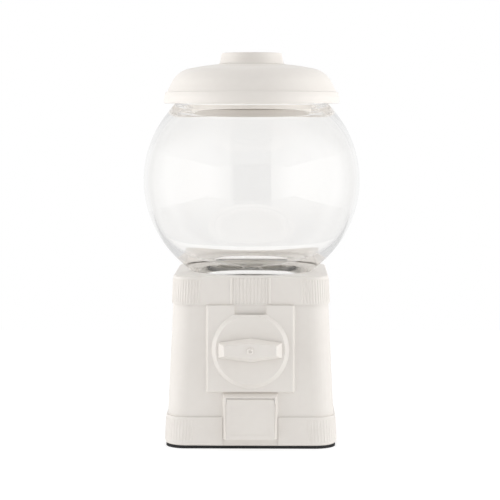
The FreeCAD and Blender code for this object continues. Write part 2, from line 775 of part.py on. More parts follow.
def faceplate():
    """Drafted plate with the raised hollow disc, the coin recess and the slot into the coin chamber."""
    top = f"({up_at('base_height - top_band_height')} - joint_gap)"
    low = up_at("plate_low")
    slab = doc.addObject("Part::Wedge", "plate_slab")
    bind(slab, {
        "Ymin": "-plate_raise", "Ymax": "0",
        "Xmin": "plate_draft - plate_half", "Xmax": "plate_half - plate_draft",
        "X2min": "-plate_half", "X2max": "plate_half",
        "Zmin": f"{low} + plate_draft / 2", "Zmax": top, "Z2min": low, "Z2max": top})
    middle = ("0", "0")
    disc = front_rod("disc", middle, ("plate_raise", PLATE_FRONT), "disc_foot", "disc_front")
    chamber = front_rod("coin_chamber", middle, ("-plate_raise", f"{PLATE_FRONT} - disc_wall"), "chamber_radius")
    bore = front_rod("bush_bore", middle, ("0", f"2 * {PLATE_FRONT}"), "shaft_radius + bush_wall + seat_fit")
    recess = front_box("coin_recess", ("-recess_half", "recess_half"),
                       ("slot_floor", f"2 * {PLATE_FRONT}"), ("recess_foot", f"2 * {top}"))
    slot = front_box("coin_slot", ("-slot_half", "slot_half"),
                     ("slot_floor", "slot_floor + slot_thickness"), ("0", "recess_foot + disc_wall"))
    screws = [front_rod(f"plate_thread_{name}", (x, up), ("-plate_raise", "plate_raise * 0.8"), SCREW_HOLE)
              for name, x, up in PLATE_SCREWS]
    whole = fuse("plate_and_disc", slab, disc)
    plate = cut("faceplate", whole, chamber, bore, recess, slot, *screws)
    node("faceplate", on_front(plate))
    fixings = [machine_screw(f"plate_screw_{name}", (x, up), f"-{WALL_OUT}", f"({WALL_OUT} + plate_raise * 0.7)")
               for name, x, up in PLATE_SCREWS]
    node("faceplate_screws", on_front(group("faceplate_screws", *fixings)))
    sleeve = front_rod("front_sleeve", middle, (f"{PLATE_FRONT} - disc_wall", PLATE_FRONT),
                       "shaft_radius + bush_wall")
    sleeve_bore = front_rod("front_sleeve_bore", middle, ("0", f"2 * {PLATE_FRONT}"), "shaft_radius + running_fit")
    node("front_bush", on_front(cut("front_bush", sleeve, sleeve_bore)))


def turn_handle():
    """Six-sided grip that narrows to its front, with the screw that holds it on the shaft."""
    body = new_body("turn_handle")
    sections = [(GRIP_BACK, "grip_half", "grip_middle", "grip_end"),
                (GRIP_FRONT, "grip_front_half", "grip_front_middle", "grip_front_end")]
    sketches = []
    for index, (out, half, middle, end) in enumerate(sections):
        sketch = sketch_in(body, f"grip_{index}", "XZ_Plane", out)
        sketches.append(draw(sketch, [
            (half, f"-{end}"), (half, end), ("0", middle),
            (f"-{half}", end), (f"-{half}", f"-{end}"), ("0", f"-{middle}")]))
    loft = body.newObject("PartDesign::AdditiveLoft", "grip")
    loft.Profile = sketches[0]
    loft.Sections = [sketches[1]]
    loft.Ruled = True
    bore = draw_circle(sketch_in(body, "grip_bore_circle", "XZ_Plane", GRIP_BACK), "0", "0",
                       "shaft_radius + seat_fit")
    pocket(body, "grip_bore", bore, "grip_bore")
    hole = draw_circle(sketch_in(body, "grip_hole_circle", "XZ_Plane", GRIP_BACK), "0", "0", SCREW_HOLE)
    pocket(body, "grip_hole", hole, "2 * grip_raise")
    node("turn_handle", on_front(body))
    head = front_rod("handle_screw_head", ("0", "0"), (GRIP_FRONT, f"{GRIP_FRONT} + screw_head_height"),
                     "screw_head")
    shank = front_rod("handle_screw_shank", ("0", "0"), (f"{GRIP_FRONT} - screw_depth + joint_gap", GRIP_FRONT),
                      "screw_radius")
    node("handle_screw", on_front(fuse("handle_screw", head, shank)))


def shaft_bore(name):
    """Bore of a piece that is fixed on the shaft."""
    return front_rod(name, ("0", "0"), (f"-2 * {LUG_BACK}", f"2 * {GRIP_FRONT}"), "shaft_radius + seat_fit")


def shaft_and_coin_wheel():
    """Drive shaft, the wheel that carries the coin, and the clip at the shaft's inner end."""
    middle = ("0", "0")
    clip_front = f"({LUG_BACK} + clip_gap)"
    clip_back = f"({clip_front} + clip_thickness)"
    shaft = front_rod("shaft_rod", middle, (f"-{clip_back} - shaft_tail", f"{GRIP_BACK} + grip_bore"),
                      "shaft_radius")
    thread = front_rod("shaft_thread", middle, (f"{GRIP_FRONT} - screw_depth", f"2 * {GRIP_FRONT}"), SCREW_HOLE)
    node("drive_shaft", on_front(cut("drive_shaft", shaft, thread)))
    span = ("coin_wheel_gap", "coin_wheel_gap + coin_wheel_thickness")
    disc = front_rod("coin_disc", middle, span, "coin_wheel_radius")
    coin = front_rod("coin_pocket_cut", ("0", "coin_centre"), ("-coin_wheel_thickness", "2 * coin_wheel_thickness"),
                     "coin_pocket")
    node("coin_wheel", on_front(cut("coin_wheel", disc, coin, shaft_bore("coin_wheel_bore"))))
    ring = front_rod("clip_ring", middle, (f"-{clip_back}", f"-{clip_front}"), "clip_radius")
    node("shaft_clip", on_front(cut("shaft_clip", ring, shaft_bore("clip_bore"))))


def toothed_disc(name, inner_out, face, count, root, tooth_points):
    """Disc on the shaft with teeth around it, turned so that a gap points up."""
    body = new_body(name)
    disc = draw_circle(sketch_in(body, f"{name}_disc", "XZ_Plane", inner_out), "0", "0", root)
    pad(body, f"{name}_web", draw_circle(disc, "0", "0", "shaft_radius + seat_fit"), face)
    sketch = sketch_in(body, f"{name}_tooth", "XZ_Plane", inner_out, f"90 + 180 / {count}")
    tooth = pad(body, f"{name}_tooth_pad", draw(sketch, tooth_points), face)
    around(body, f"{name}_teeth", tooth, sketch, count)
    return node(name, on_front(body))


def shaft_teeth():
    """Ratchet behind the front wall and the pinion below the gumball wheel."""
    ratchet_front = f"({WALL_OUT} + ratchet_gap)"
    half = "(ratchet_root * sin(180 / ratchet_teeth))"
    root_in = "(ratchet_root - ratchet_gap / 2)"
    toothed_disc("ratchet_wheel", f"-{ratchet_front} - ratchet_thickness", "ratchet_thickness",
                 "ratchet_teeth", "ratchet_root",
                 [(root_in, f"-{half}"), ("ratchet_root", f"-{half}"), ("ratchet_tip", "0"),
                  ("ratchet_root", half), (root_in, half)])
    pitch_half = "(pi * gear_radius / gear_teeth - tooth_backlash) / 2"
    tip = f"({PINION_RADIUS} + tooth_addendum)"
    root = f"({PINION_RADIUS} - tooth_dedendum)"
    tip_half = f"({pitch_half} - tooth_addendum * tooth_flank)"
    root_half = f"({pitch_half} + tooth_dedendum * tooth_flank / 2)"
    root_in = f"({root} - tooth_dedendum / 2)"
    toothed_disc("drive_pinion", f"-{PINION_IN} - pinion_face / 2", "pinion_face", "pinion_teeth", root,
                 [(root_in, f"-{root_half}"), (root, f"-{root_half}"), (tip, f"-{tip_half}"),
                  (tip, tip_half), (root, root_half), (root_in, root_half)])


def click_spring():
    """Leaf on the inner face of the front wall whose tip rests in a gap of the ratchet."""
    wall = f"-{WALL_OUT}"
    leaf_low = LEAF_LOW
    leaf = front_box("leaf", ("-leaf_reach", "leaf_tip"), (f"{wall} - leaf_width", wall),
                     (leaf_low, f"{leaf_low} + leaf_thickness"))
    tab = front_box("leaf_foot", ("-leaf_reach", "leaf_tab - leaf_reach"), (f"{wall} - leaf_thickness", wall),
                    (leaf_low, f"{leaf_low} + leaf_tab"))
    beak = new_body("leaf_beak")
    sketch = sketch_in(beak, "leaf_beak_outline", "XZ_Plane", f"{wall} - leaf_width")
    draw(sketch, [("-leaf_tip", f"{leaf_low} + leaf_thickness"), ("-leaf_tip", leaf_low),
                  ("-leaf_tip / 4", "ratchet_root + leaf_clear / 2"), ("leaf_tip / 4", "ratchet_root + leaf_clear / 2"),
                  ("leaf_tip", leaf_low), ("leaf_tip", f"{leaf_low} + leaf_thickness")])
    pad(beak, "leaf_beak_pad", sketch, "leaf_width")
    hole = front_rod("leaf_hole", LEAF_SCREW, (f"{wall} - leaf_width", "0"), SCREW_HOLE)
    node("click_spring", on_front(cut("click_spring", fuse("leaf_whole", leaf, tab, beak), hole)))
    screw = machine_screw("leaf_screw", LEAF_SCREW, f"({wall} - leaf_thickness)", WALL_OUT)
    node("click_spring_screw", on_front(group("click_spring_screw", screw)))


def gumball_wheel():
    """Wheel with pockets for the gumballs and a ring of teeth below its rim."""
    body = lathe("gumball_wheel", [
        ("pivot_radius + running_fit", "0"), ("wheel_radius", "0"), ("wheel_radius", "wheel_height"),
        ("pivot_radius + running_fit", "wheel_height")], height=WHEEL_Z)
    circle = draw_circle(sketch_in(body, "pocket_circle", "XY_Plane"), "0", "pocket_centre", "pocket_radius")
    first = pocket(body, "ball_pocket", circle, "2 * wheel_height")
    around(body, "ball_pockets", first, circle, "pocket_count")
    sketch = sketch_in(body, "wheel_tooth", "XZ_Plane", "gear_radius - gear_face / 2")
    pitch_half = "(pi * gear_radius / gear_teeth - tooth_backlash) / 2"
    tip_half = f"({pitch_half} - tooth_addendum * tooth_flank)"
    root_half = f"({pitch_half} + tooth_dedendum * tooth_flank)"
    tip = "-(tooth_addendum + tooth_dedendum)"
    bedded = "tooth_dedendum / 2"
    draw(sketch, [(f"-{root_half}", bedded), (f"-{root_half}", "0"), (f"-{tip_half}", tip),
                  (tip_half, tip), (root_half, "0"), (root_half, bedded)])
    tooth = pad(body, "wheel_tooth_pad", sketch, "gear_face")
    around(body, "wheel_teeth", tooth, circle, "gear_teeth")
    return node("gumball_wheel", body)


def hopper():
    """Cup below the globe for the gumball wheel, with its drop tube, pinion window and shaft lug."""
    outer = "(hopper_radius + hopper_wall)"
    step = f"({GROOVE_INNER} - hopper_wall)"
    flange_low = f"({LEDGE_LOW} - flange_thickness)"
    stud_hole = "(pivot_stud + screw_hole)"
    cup = lathe("hopper_cup", [
        (stud_hole, FLOOR_LOW), (step, FLOOR_LOW), (step, GROOVE_LOW), (outer, GROOVE_LOW),
        (outer, flange_low), ("flange_radius", flange_low), ("flange_radius", LEDGE_LOW),
        ("ledge_radius", LEDGE_LOW), ("hopper_radius", f"{LEDGE_LOW} - funnel_drop"),
        ("hopper_radius", GROOVE_Z), (GROOVE_INNER, GROOVE_Z), (GROOVE_INNER, FLOOR_Z), (stud_hole, FLOOR_Z)])
    drop = ("0", "pocket_centre")
    tube_rod = rod("drop_tube_rod", "Z", drop, (f"{GROOVE_LOW} - drop_tube_length", FLOOR_LOW),
                   "drop_radius + drop_tube_wall")
    trim_inner = f"({GROOVE_INNER} - hopper_wall / 2)"
    trim_low = f"({GROOVE_Z} - floor_thickness / 2)"
    trim = lathe("drop_tube_trim", [(trim_inner, trim_low), ("hopper_radius", trim_low),
                                    ("hopper_radius", WHEEL_Z), (trim_inner, WHEEL_Z)])
    tube = cut("drop_tube", tube_rod, trim)
    axis_low = f"(handle_height - ({FACE} - lug_front) * {SLOPE})"
    lug = box("shaft_lug", ("-lug_half", "lug_half"), ("-lug_front", "lug_length - lug_front"),
              (f"{axis_low} - lug_below", f"{FLOOR_Z} - floor_thickness / 2"))
    hole = rod("drop_hole", "Z", drop, (f"{GROOVE_LOW} - 2 * drop_tube_length", f"{FLOOR_Z} + floor_thickness"),
               "drop_radius")
    window = box("pinion_window_cut", ("-pinion_window", "pinion_window"),
                 (f"-{outer} + hopper_wall / 2", f"-{GROOVE_INNER} - floor_gap"),
                 (f"{GROOVE_LOW} - floor_thickness", f"{GROOVE_Z} + floor_gap"))
    bore = on_front(group("lug_bore", front_rod(
        "lug_bore_rod", ("0", "0"), (f"-{LUG_BACK} - clip_thickness", f"-{PINION_IN}"),
        "shaft_radius + bush_wall + seat_fit")))
    screws = []
    holes = []
    rivets = []
    for angle in HOPPER_SCREW_ANGLES:
        holes.append(hopper_screw_rod(f"flange_hole_{angle}", angle, (flange_low, LEDGE_LOW), SCREW_HOLE))
        head = hopper_screw_rod(f"flange_head_{angle}", angle, (f"{flange_low} - screw_head_height", flange_low),
                                "screw_head")
        shank = hopper_screw_rod(f"flange_shank_{angle}", angle, (flange_low, f"{LEDGE_Z} - joint_gap"),
                                 "screw_radius")
        screws.append(fuse(f"flange_screw_{angle}", head, shank))
    guard_low = f"({WHEEL_Z} + wheel_height + guard_gap)"
    rivet_z = f"({guard_low} + rivet_up)"
    for name, sign in SIDES:
        holes.append(rivet_rod(f"rivet_hole_{name}", sign, rivet_z, RIVET_SPAN, RIVET_HOLE))
    node("hopper", cut("hopper", fuse("hopper_body", cup, tube, lug), hole, window, bore, *holes))
    node("hopper_screws", group("hopper_screws", *screws))
    guard = ball_guard(guard_low)
    guard_holes = [rivet_rod(f"guard_hole_{name}", sign, rivet_z, RIVET_SPAN, RIVET_HOLE)
                   for name, sign in SIDES]
    node("ball_guard", cut("ball_guard", guard, *guard_holes))
    for name, sign in SIDES:
        shank = rivet_rod(f"rivet_shank_{name}", sign, rivet_z, ("hopper_radius - guard_thickness", outer),
                          "rivet_radius")
        head = rivet_rod(f"rivet_head_{name}", sign, rivet_z, (outer, f"{outer} + rivet_head_height"), "rivet_head")
        trimmed = cut(f"rivet_trim_{name}", head, rod(f"rivet_seat_{name}", "Z", ("0", "0"),
                                                      (GROOVE_LOW, LEDGE_LOW), outer))
        rivets.append(fuse(f"rivet_{name}", shank, trimmed))
    node("guard_rivets", group("guard_rivets", *rivets))
    sleeve = front_rod("rear_sleeve", ("0", "0"), (f"-{LUG_BACK}", f"lug_length - {LUG_BACK}"),
                       "shaft_radius + bush_wall")
    sleeve_bore = front_rod("rear_sleeve_bore", ("0", "0"), (f"-2 * {LUG_BACK}", "0"), "shaft_radius + running_fit")
    node("rear_bush", on_front(cut("rear_bush", sleeve, sleeve_bore)))


RIVET_SPAN = ("hopper_radius - 2 * hopper_wall", "hopper_radius + 2 * hopper_wall")


def rivet_rod(name, sign, height, span, radius):
    """Level cylinder from the axis of the hopper outwards, half way to the back on one side."""
    item = doc.addObject("Part::Cylinder", name)
    turn = 45 if sign == "" else 135
    item.Placement = Placement(Vector(), Rotation(Vector(0, 0, 1), turn) * TURN_TO["X"])
    bind(item, {"Radius": radius, "Height": f"({span[1]}) - ({span[0]})"})
    along = f"({span[0]})"
    return moved(item, f"{along} * cos({turn})", f"{along} * sin({turn})", height)


def ball_guard(low):
    """Plate over the drop hole with a rim against the wall of the hopper."""
    inner = "(hopper_radius - guard_thickness)"
    top = f"({low} + guard_height)"
    floor_top = f"({low} + guard_thickness)"
    tray = lathe("guard_tray", [
        ("pivot_head + guard_gap", low), ("hopper_radius", low), ("hopper_radius", top), (inner, top),
        (inner, floor_top), ("pivot_head + guard_gap", floor_top)])
    keep = box("guard_keep", ("-2 * hopper_radius", "2 * hopper_radius"), ("guard_edge", "2 * hopper_radius"),
               (f"{low} - guard_gap", f"{top} + guard_gap"))
    item = doc.addObject("Part::Common", "guard_half")
    item.Base = tray
    item.Tool = keep
    return item


def wheel_pivot():
    """Shoulder bolt of the gumball wheel with its nut below the hopper and a washer under the wheel."""
    head_low = f"({WHEEL_Z} + wheel_height + pivot_play)"
    tail = f"({FLOOR_LOW} - nut_height - pivot_tail)"
    node("wheel_pivot", lathe("wheel_pivot", [
        ("0", tail), ("pivot_stud", tail), ("pivot_stud", FLOOR_Z), ("pivot_radius", FLOOR_Z),
        ("pivot_radius", head_low), ("pivot_head", head_low),
        ("pivot_head", f"{head_low} + pivot_head_height / 3"),
        ("pivot_radius", f"{head_low} + pivot_head_height"), ("0", f"{head_low} + pivot_head_height")]))
    nut = doc.addObject("Part::Prism", "nut_prism")
    nut.Polygon = 6
    bind(nut, {"Circumradius": "nut_radius", "Height": "nut_height"})
    moved(nut, z=f"{FLOOR_LOW} - nut_height")
    thread = rod("nut_thread", "Z", ("0", "0"), (tail, FLOOR_Z), "pivot_stud + seat_fit")
    node("pivot_nut", cut("pivot_nut", nut, thread))
    bore = "(pivot_radius + screw_hole)"
    top = f"({FLOOR_Z} + washer_thickness)"
    node("wheel_washer", lathe("wheel_washer", [
        (bore, FLOOR_Z), ("washer_radius", FLOOR_Z), ("washer_radius", top), (bore, top)]))


def chute():
    """Covered slide from the drop hole down to the spout, with a flange on the front wall."""
    back = "(pocket_centre + drop_radius + chute_clear)"
    front = "(pocket_centre - drop_radius - chute_clear)"
    rise = "tan(chute_angle)"
    roof = "(chute_low + chute_height)"
    skin = "(chute_wall / cos(chute_angle))"
    low = f"(chute_low - {skin})"
    high = f"({roof} + {skin})"

    def on_floor(y):
        return f"(chute_low + (({y}) - {inside_at('chute_low')}) * {rise})"

    def on_roof(y):
        return f"({roof} + (({y}) - {inside_at(roof)}) * {rise})"

    body = new_body("chute_form")
    outer = draw(sketch_in(body, "chute_outer", "YZ_Plane"), [
        (inside_at(low), low),
        (f"{back} + chute_wall", f"{on_floor(f'{back} + chute_wall')} - {skin}"),
        (f"{back} + chute_wall", GROOVE_LOW),
        (f"{front} - chute_wall", GROOVE_LOW),
        (f"{front} - chute_wall", f"{on_roof(f'{front} - chute_wall')} + {skin}"),
        (inside_at(high), high)])
    pad(body, "chute_skin", outer, "2 * (chute_half + chute_wall)", symmetric=True)
    flange_low = f"({low} - chute_flange_margin)"
    flange_high = f"({high} + chute_flange_margin)"
    flange = draw(sketch_in(body, "chute_flange_side", "YZ_Plane"), [
        (inside_at(flange_low), flange_low), (f"{inside_at(flange_low)} + chute_flange", flange_low),
        (f"{inside_at(flange_high)} + chute_flange", flange_high), (inside_at(flange_high), flange_high)])
    pad(body, "chute_flange_pad", flange, "2 * chute_flange_half", symmetric=True)
    ahead = f"({inside_at('chute_low')} - chute_flange)"
    above = f"({GROOVE_LOW} + chute_wall)"
    inner = draw(sketch_in(body, "chute_inner", "YZ_Plane"), [
        (ahead, on_floor(ahead)), (back, on_floor(back)), (back, above), (front, above),
        (front, on_roof(front)), (ahead, on_roof(ahead))])
    pocket(body, "chute_way", inner, "2 * chute_half", symmetric=True)
    bearing = f"(-{WALL_OUT} - chute_flange * cos({TILT}))"
    holes = []
    screws = []
    for name, sign in SIDES:
        centre = (f"{sign}spout_screw_across", up_at("spout_screw_height"))
        holes.append(front_rod(f"chute_hole_{name}", centre, (f"2 * {bearing}", "0"), SCREW_HOLE))
        screws.append(machine_screw(f"chute_screw_{name}", centre, bearing, f"(spout_screw_depth - {bearing})"))
    node("chute", cut("chute", body, on_front(fuse("chute_holes", *holes))))
    node("chute_screws", on_front(group("chute_screws", *screws)))


def spout():
    """Drafted spout with a sloped roof, open in front, with ears beside the door's knuckle that seat its pin."""
    ear_low = f"({HINGE_UP} - door_knuckle - door_gap)"
    form = side_slab("spout_form", front_points([
        ("0", SPOUT_TOP), ("spout_top_out", LIP_UP),
        (door_out(ear_low), ear_low), (f"{door_out(ear_low)} - {DOOR_BACK}", ear_low),
        (f"spout_low_out - {DOOR_BACK}", SPOUT_LOW), ("0", SPOUT_LOW)]), "2 * spout_half")
    draft = doc.addObject("Part::Wedge", "spout_draft_form")
    front_half = "(spout_half - spout_low_out * spout_draft)"
    bind(draft, {
        "Ymin": "-spout_low_out", "Ymax": "0", "Xmin": f"-{front_half}", "Xmax": front_half,
        "X2min": "-spout_half", "X2max": "spout_half",
        "Zmin": SPOUT_LOW, "Zmax": SPOUT_TOP, "Z2min": SPOUT_LOW, "Z2max": SPOUT_TOP})
    drafted = doc.addObject("Part::Common", "spout_drafted")
    drafted.Base = form
    drafted.Tool = draft
    roof = f"({LIP_UP} - spout_lip)"
    way = side_slab("spout_way", front_points([
        ("-spout_floor", f"{SPOUT_TOP} - spout_floor"), ("spout_floor", f"{SPOUT_TOP} - 2 * spout_floor"),
        (HINGE_OUT, roof), ("2 * spout_low_out", roof),
        ("2 * spout_low_out", f"{SPOUT_LOW} + spout_floor"), ("-spout_floor", f"{SPOUT_LOW} + spout_floor")]),
        "2 * spout_inner_half")
    hinge = (f"-{HINGE_OUT}", HINGE_UP)
    clear = "(door_half + door_gap)"
    relief = rod("knuckle_relief", "X", hinge, (f"-{clear}", clear), "door_knuckle + door_gap")
    between = side_slab("between_ears", front_points([
        (f"{door_out(roof)} - {DOOR_BACK}", roof), ("2 * spout_low_out", roof),
        ("2 * spout_low_out", f"{ear_low} - door_knuckle"),
        (f"{door_out(f'{ear_low} - door_knuckle')} - {DOOR_BACK}", f"{ear_low} - door_knuckle")]), f"2 * {clear}")
    seat = "(door_half + door_gap + door_pin_seat)"
    pin_seat = rod("pin_seat", "X", hinge, (f"-{seat}", seat), "door_pin_radius + seat_fit")
    tools = [way, relief, between, pin_seat]
    for name, sign in SIDES:
        centre = (f"{sign}spout_screw_across", up_at("spout_screw_height"))
        tools.append(front_rod(f"spout_thread_{name}", centre, ("-spout_floor", "spout_screw_depth + joint_gap"),
                               SCREW_HOLE))
    node("chute_spout", on_front(cut("chute_spout", drafted, *tools)))
    end = f"({seat} - joint_gap)"
    pin = rod("door_pin_rod", "X", hinge, (f"-{end}", end), "door_pin_radius")
    node("door_pin", on_front(group("door_pin", pin)))


def door():
    """Flap with a panel, hung on the pin by a knuckle along its top edge."""
    low = f"({SPOUT_LOW} + joint_gap)"

    def face(up, behind):
        return (f"{door_out(up)} - ({behind})", up)

    leaf = side_slab("door_leaf", front_points([
        face(HINGE_UP, "0"), face(HINGE_UP, "door_thickness"), face(low, "door_thickness"), face(low, "0")]),
        "2 * door_half")
    hinge = (f"-{HINGE_OUT}", HINGE_UP)
    knuckle = rod("knuckle", "X", hinge, ("-door_half", "door_half"), "door_knuckle")
    bore = rod("knuckle_bore", "X", hinge, ("-2 * door_half", "2 * door_half"), "door_pin_radius + running_fit")
    panel_high = f"({HINGE_UP} - door_panel_margin)"
    panel_low = f"({low} + door_panel_margin)"
    panel = side_slab("door_panel", front_points([
        face(panel_high, "-door_panel_depth"), face(panel_high, "door_panel_depth"),
        face(panel_low, "door_panel_depth"), face(panel_low, "-door_panel_depth")]),
        "2 * (door_half - door_panel_margin)")
    node("chute_door", on_front(cut("chute_door", fuse("door_whole", leaf, knuckle), bore, panel)))


def bottom():
    """Bottom plate, its screws, the pad under the base and the plug of the coin hole."""
    low = "pad_thickness"
    top = "(pad_thickness + plate_thickness)"
    inner_half = f"({half_at(low)} - shell_wall - plate_clear)"
    inner_radius = "(corner_radius - shell_wall - plate_clear)"
    slab = square_loft("plate_blank", (inner_half, inner_radius, low), (inner_half, inner_radius, top))
    coin_hole = ("0", "plug_back")
    cuts = [rod("coin_hole", "Z", coin_hole, ("0", f"2 * {top}"), "plug_radius + plug_fit")]
    screws = []
    head_top = "(pad_thickness + plate_thickness / 2)"
    for name, x, y in CORNERS:
        centre = (f"{x}{BOSS_AT}", f"{y}{BOSS_AT}")
        cuts.append(rod(f"plate_hole_{name}", "Z", centre, ("0", f"2 * {top}"), SCREW_HOLE))
        cuts.append(rod(f"plate_sink_{name}", "Z", centre, ("0", head_top), "screw_head + screw_hole"))
        head = rod(f"bottom_head_{name}", "Z", centre, (low, head_top), "screw_head")
        shank = rod(f"bottom_shank_{name}", "Z", centre, (head_top, f"{top} + screw_depth - joint_gap"),
                    "screw_radius")
        screws.append(fuse(f"bottom_screw_{name}", head, shank))
    node("base_plate", cut("base_plate", slab, *cuts))
    node("base_plate_screws", group("base_plate_screws", *screws))
    pad_half = f"({banded('foot_band_proud', low)} - pad_inset)"
    pad_radius = "(corner_radius - pad_inset)"
    blank = square_loft("pad_blank", (pad_half, pad_radius, "0"), (pad_half, pad_radius, low))
    opening = rod("pad_opening", "Z", coin_hole, ("-pad_thickness", "2 * pad_thickness"), "plug_flange + plug_fit")
    node("base_pad", cut("base_pad", blank, opening))
    flange_top = "(pad_thickness - joint_gap)"
    flange_low = f"({flange_top} - plug_flange_thickness)"
    node("coin_plug", moved(lathe("coin_plug", [
        ("0", flange_low), ("plug_flange", flange_low), ("plug_flange", flange_top), ("plug_radius", flange_top),
        ("plug_radius", f"{flange_top} + plug_height"), ("0", f"{flange_top} + plug_height")]), y="plug_back"))


def check_and_write():
    """Stop at any failed object, then write one file for each node."""
    doc.recompute()
    failed = [item.Name for item in doc.Objects if {"Invalid", "Error"} & set(item.State)]
    broken = [item.Label for item in NODES if item.Shape.isNull() or not item.Shape.isValid()]
    if failed or broken:
        raise RuntimeError(f"failed objects {failed}, broken pieces {broken}")
    os.makedirs("parts", exist_ok=True)
    for item in NODES:
        item.Shape.exportStep(f"parts/{item.Label}.step")
        print(f"{item.Label}: {len(item.Shape.Solids)} solid(s), {item.Shape.Volume / 1000:.2f} cm3")


housing()
globe_and_gasket()
lid_and_knob()
faceplate()
turn_handle()
shaft_and_coin_wheel()
shaft_teeth()
click_spring()
gumball_wheel()
hopper()
wheel_pivot()
chute()
spout()
door()
bottom()
check_and_write()
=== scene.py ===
"""Dressed gumball machine: enamelled base and lid, clear glass globe, ribbed bands and studio.

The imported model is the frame: +Z up, the front faces -Y, lengths in metres. Sizes below are in
millimetres, as on the part's drawing, and are turned into metres where a mesh is made. Angles are
in degrees.
"""

import json
import logging
import math
from dataclasses import dataclass
from enum import Enum
from typing import Callable, Iterable, NamedTuple, Sequence

import bmesh
import bpy
from mathutils import Euler, Matrix, Vector


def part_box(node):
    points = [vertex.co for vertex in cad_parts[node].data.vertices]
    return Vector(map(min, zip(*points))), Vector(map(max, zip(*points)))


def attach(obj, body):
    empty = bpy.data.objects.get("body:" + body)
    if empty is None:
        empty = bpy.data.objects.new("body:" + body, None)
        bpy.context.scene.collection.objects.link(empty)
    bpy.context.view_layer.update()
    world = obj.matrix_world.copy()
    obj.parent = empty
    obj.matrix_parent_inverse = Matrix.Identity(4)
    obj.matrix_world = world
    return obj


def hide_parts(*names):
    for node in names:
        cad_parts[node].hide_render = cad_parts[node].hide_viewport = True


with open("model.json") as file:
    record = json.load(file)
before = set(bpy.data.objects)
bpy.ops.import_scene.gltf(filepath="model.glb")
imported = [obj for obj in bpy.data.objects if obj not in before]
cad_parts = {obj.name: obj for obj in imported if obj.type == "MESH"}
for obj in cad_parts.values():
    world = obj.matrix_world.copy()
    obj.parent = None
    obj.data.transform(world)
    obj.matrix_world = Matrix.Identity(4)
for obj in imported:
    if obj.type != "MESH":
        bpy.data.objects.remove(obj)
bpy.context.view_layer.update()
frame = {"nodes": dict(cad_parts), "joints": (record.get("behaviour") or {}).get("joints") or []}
LOG = logging.getLogger("gumball_machine")
MM = 0.001

Tree = bpy.types.NodeTree
Node = bpy.types.Node
Socket = bpy.types.NodeSocket
Piece = bpy.types.Object
Mesh = bpy.types.Mesh
Colour = tuple[float, float, float]


class Body(str, Enum):
    """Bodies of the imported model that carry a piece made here."""

    BASE = "base"
    GLOBE = "globe"
    LID = "lid"
    HANDLE = "handle"
    DOOR = "door"


class Slot(str, Enum):
    """Material slots of the record."""

    IVORY = "ivory_paint"
    GLASS = "clear_glass"
    RUBBER = "black_rubber"
    PALE_RUBBER = "white_rubber"
    PLASTIC = "white_plastic"
    STEEL = "steel"
    BRASS = "brass"


# Node trees


class Fade(NamedTuple):
    """Smooth change between two limits: start at and below low, end at and above high."""

    low: float
    high: float
    start: float
    end: float


CLOUD_DETAIL = 3.0
CLOUD_CONTRAST = Fade(0.3, 0.7, 0.0, 1.0)
FINE_CLOUDS = 9.0  # fine clouds to one broad cloud
GRAIN_DETAIL = 2.0
PORE_EDGE = Fade(0.1, 0.6, 0.0, 1.0)
FIRST_MIRROR = 0.5  # between no mirror on the way and the first
GROUPS: dict[str, Tree] = {}


def add_node(tree: Tree, kind: str, inputs: dict | None = None, **settings: object) -> Node:
    """Add a node, set its properties and fill or link its inputs.

    Args:
        tree: Tree that gets the node.
        kind: Blender's name of the node type.
        inputs: Socket name or number, with a plain value or an output socket to link.
        **settings: Properties of the node.

    Returns:
        The new node.
    """
    made = tree.nodes.new(kind)
    for name, value in settings.items():
        setattr(made, name, value)
    for name, value in (inputs or {}).items():
        if isinstance(value, Socket):
            tree.links.new(value, made.inputs[name])
        else:
            made.inputs[name].default_value = value
    return made


def maths(tree: Tree, operation: str, *values: object) -> Socket:
    """Add a Math node.

    Args:
        tree: Tree that gets the node.
        operation: Blender's name of the operation.
        *values: Numbers or output sockets.

    Returns:
        The node's output socket.
    """
    inputs = dict(enumerate(values))
    return add_node(tree, "ShaderNodeMath", inputs, operation=operation).outputs[0]


def ramp(tree: Tree, value: Socket, fade: Fade) -> Socket:
    """Map a value smoothly from one range to another.

    Args:
        tree: Tree that gets the node.
        value: Socket to map.
        fade: Limits of the value and the results there.

    Returns:
        The mapped value.
    """
    inputs = dict(enumerate((value, *fade)))
    return add_node(
        tree, "ShaderNodeMapRange", inputs, interpolation_type="SMOOTHSTEP").outputs[0]


def blend(tree: Tree, share: Socket, first: object, second: object) -> Socket:
    """Mix two values.

    Args:
        tree: Tree that gets the node.
        share: Share of the second value, from 0 to 1.
        first: Number or socket that counts where the share is 0.
        second: Number or socket that counts where the share is 1.

    Returns:
        The mixed value.
    """
    return add_node(tree, "ShaderNodeMix", {0: share, 2: first, 3: second}).outputs[0]


def blend_colours(tree: Tree, share: Socket, first: Colour, second: Colour) -> Socket:
    """Mix two colours.

    Args:
        tree: Tree that gets the node.
        share: Share of the second colour, from 0 to 1.
        first: Colour where the share is 0.
        second: Colour where the share is 1.

    Returns:
        The mixed colour.
    """
    inputs = {0: share, 6: (*first, 1.0), 7: (*second, 1.0)}
    return add_node(tree, "ShaderNodeMix", inputs, data_type="RGBA").outputs[2]


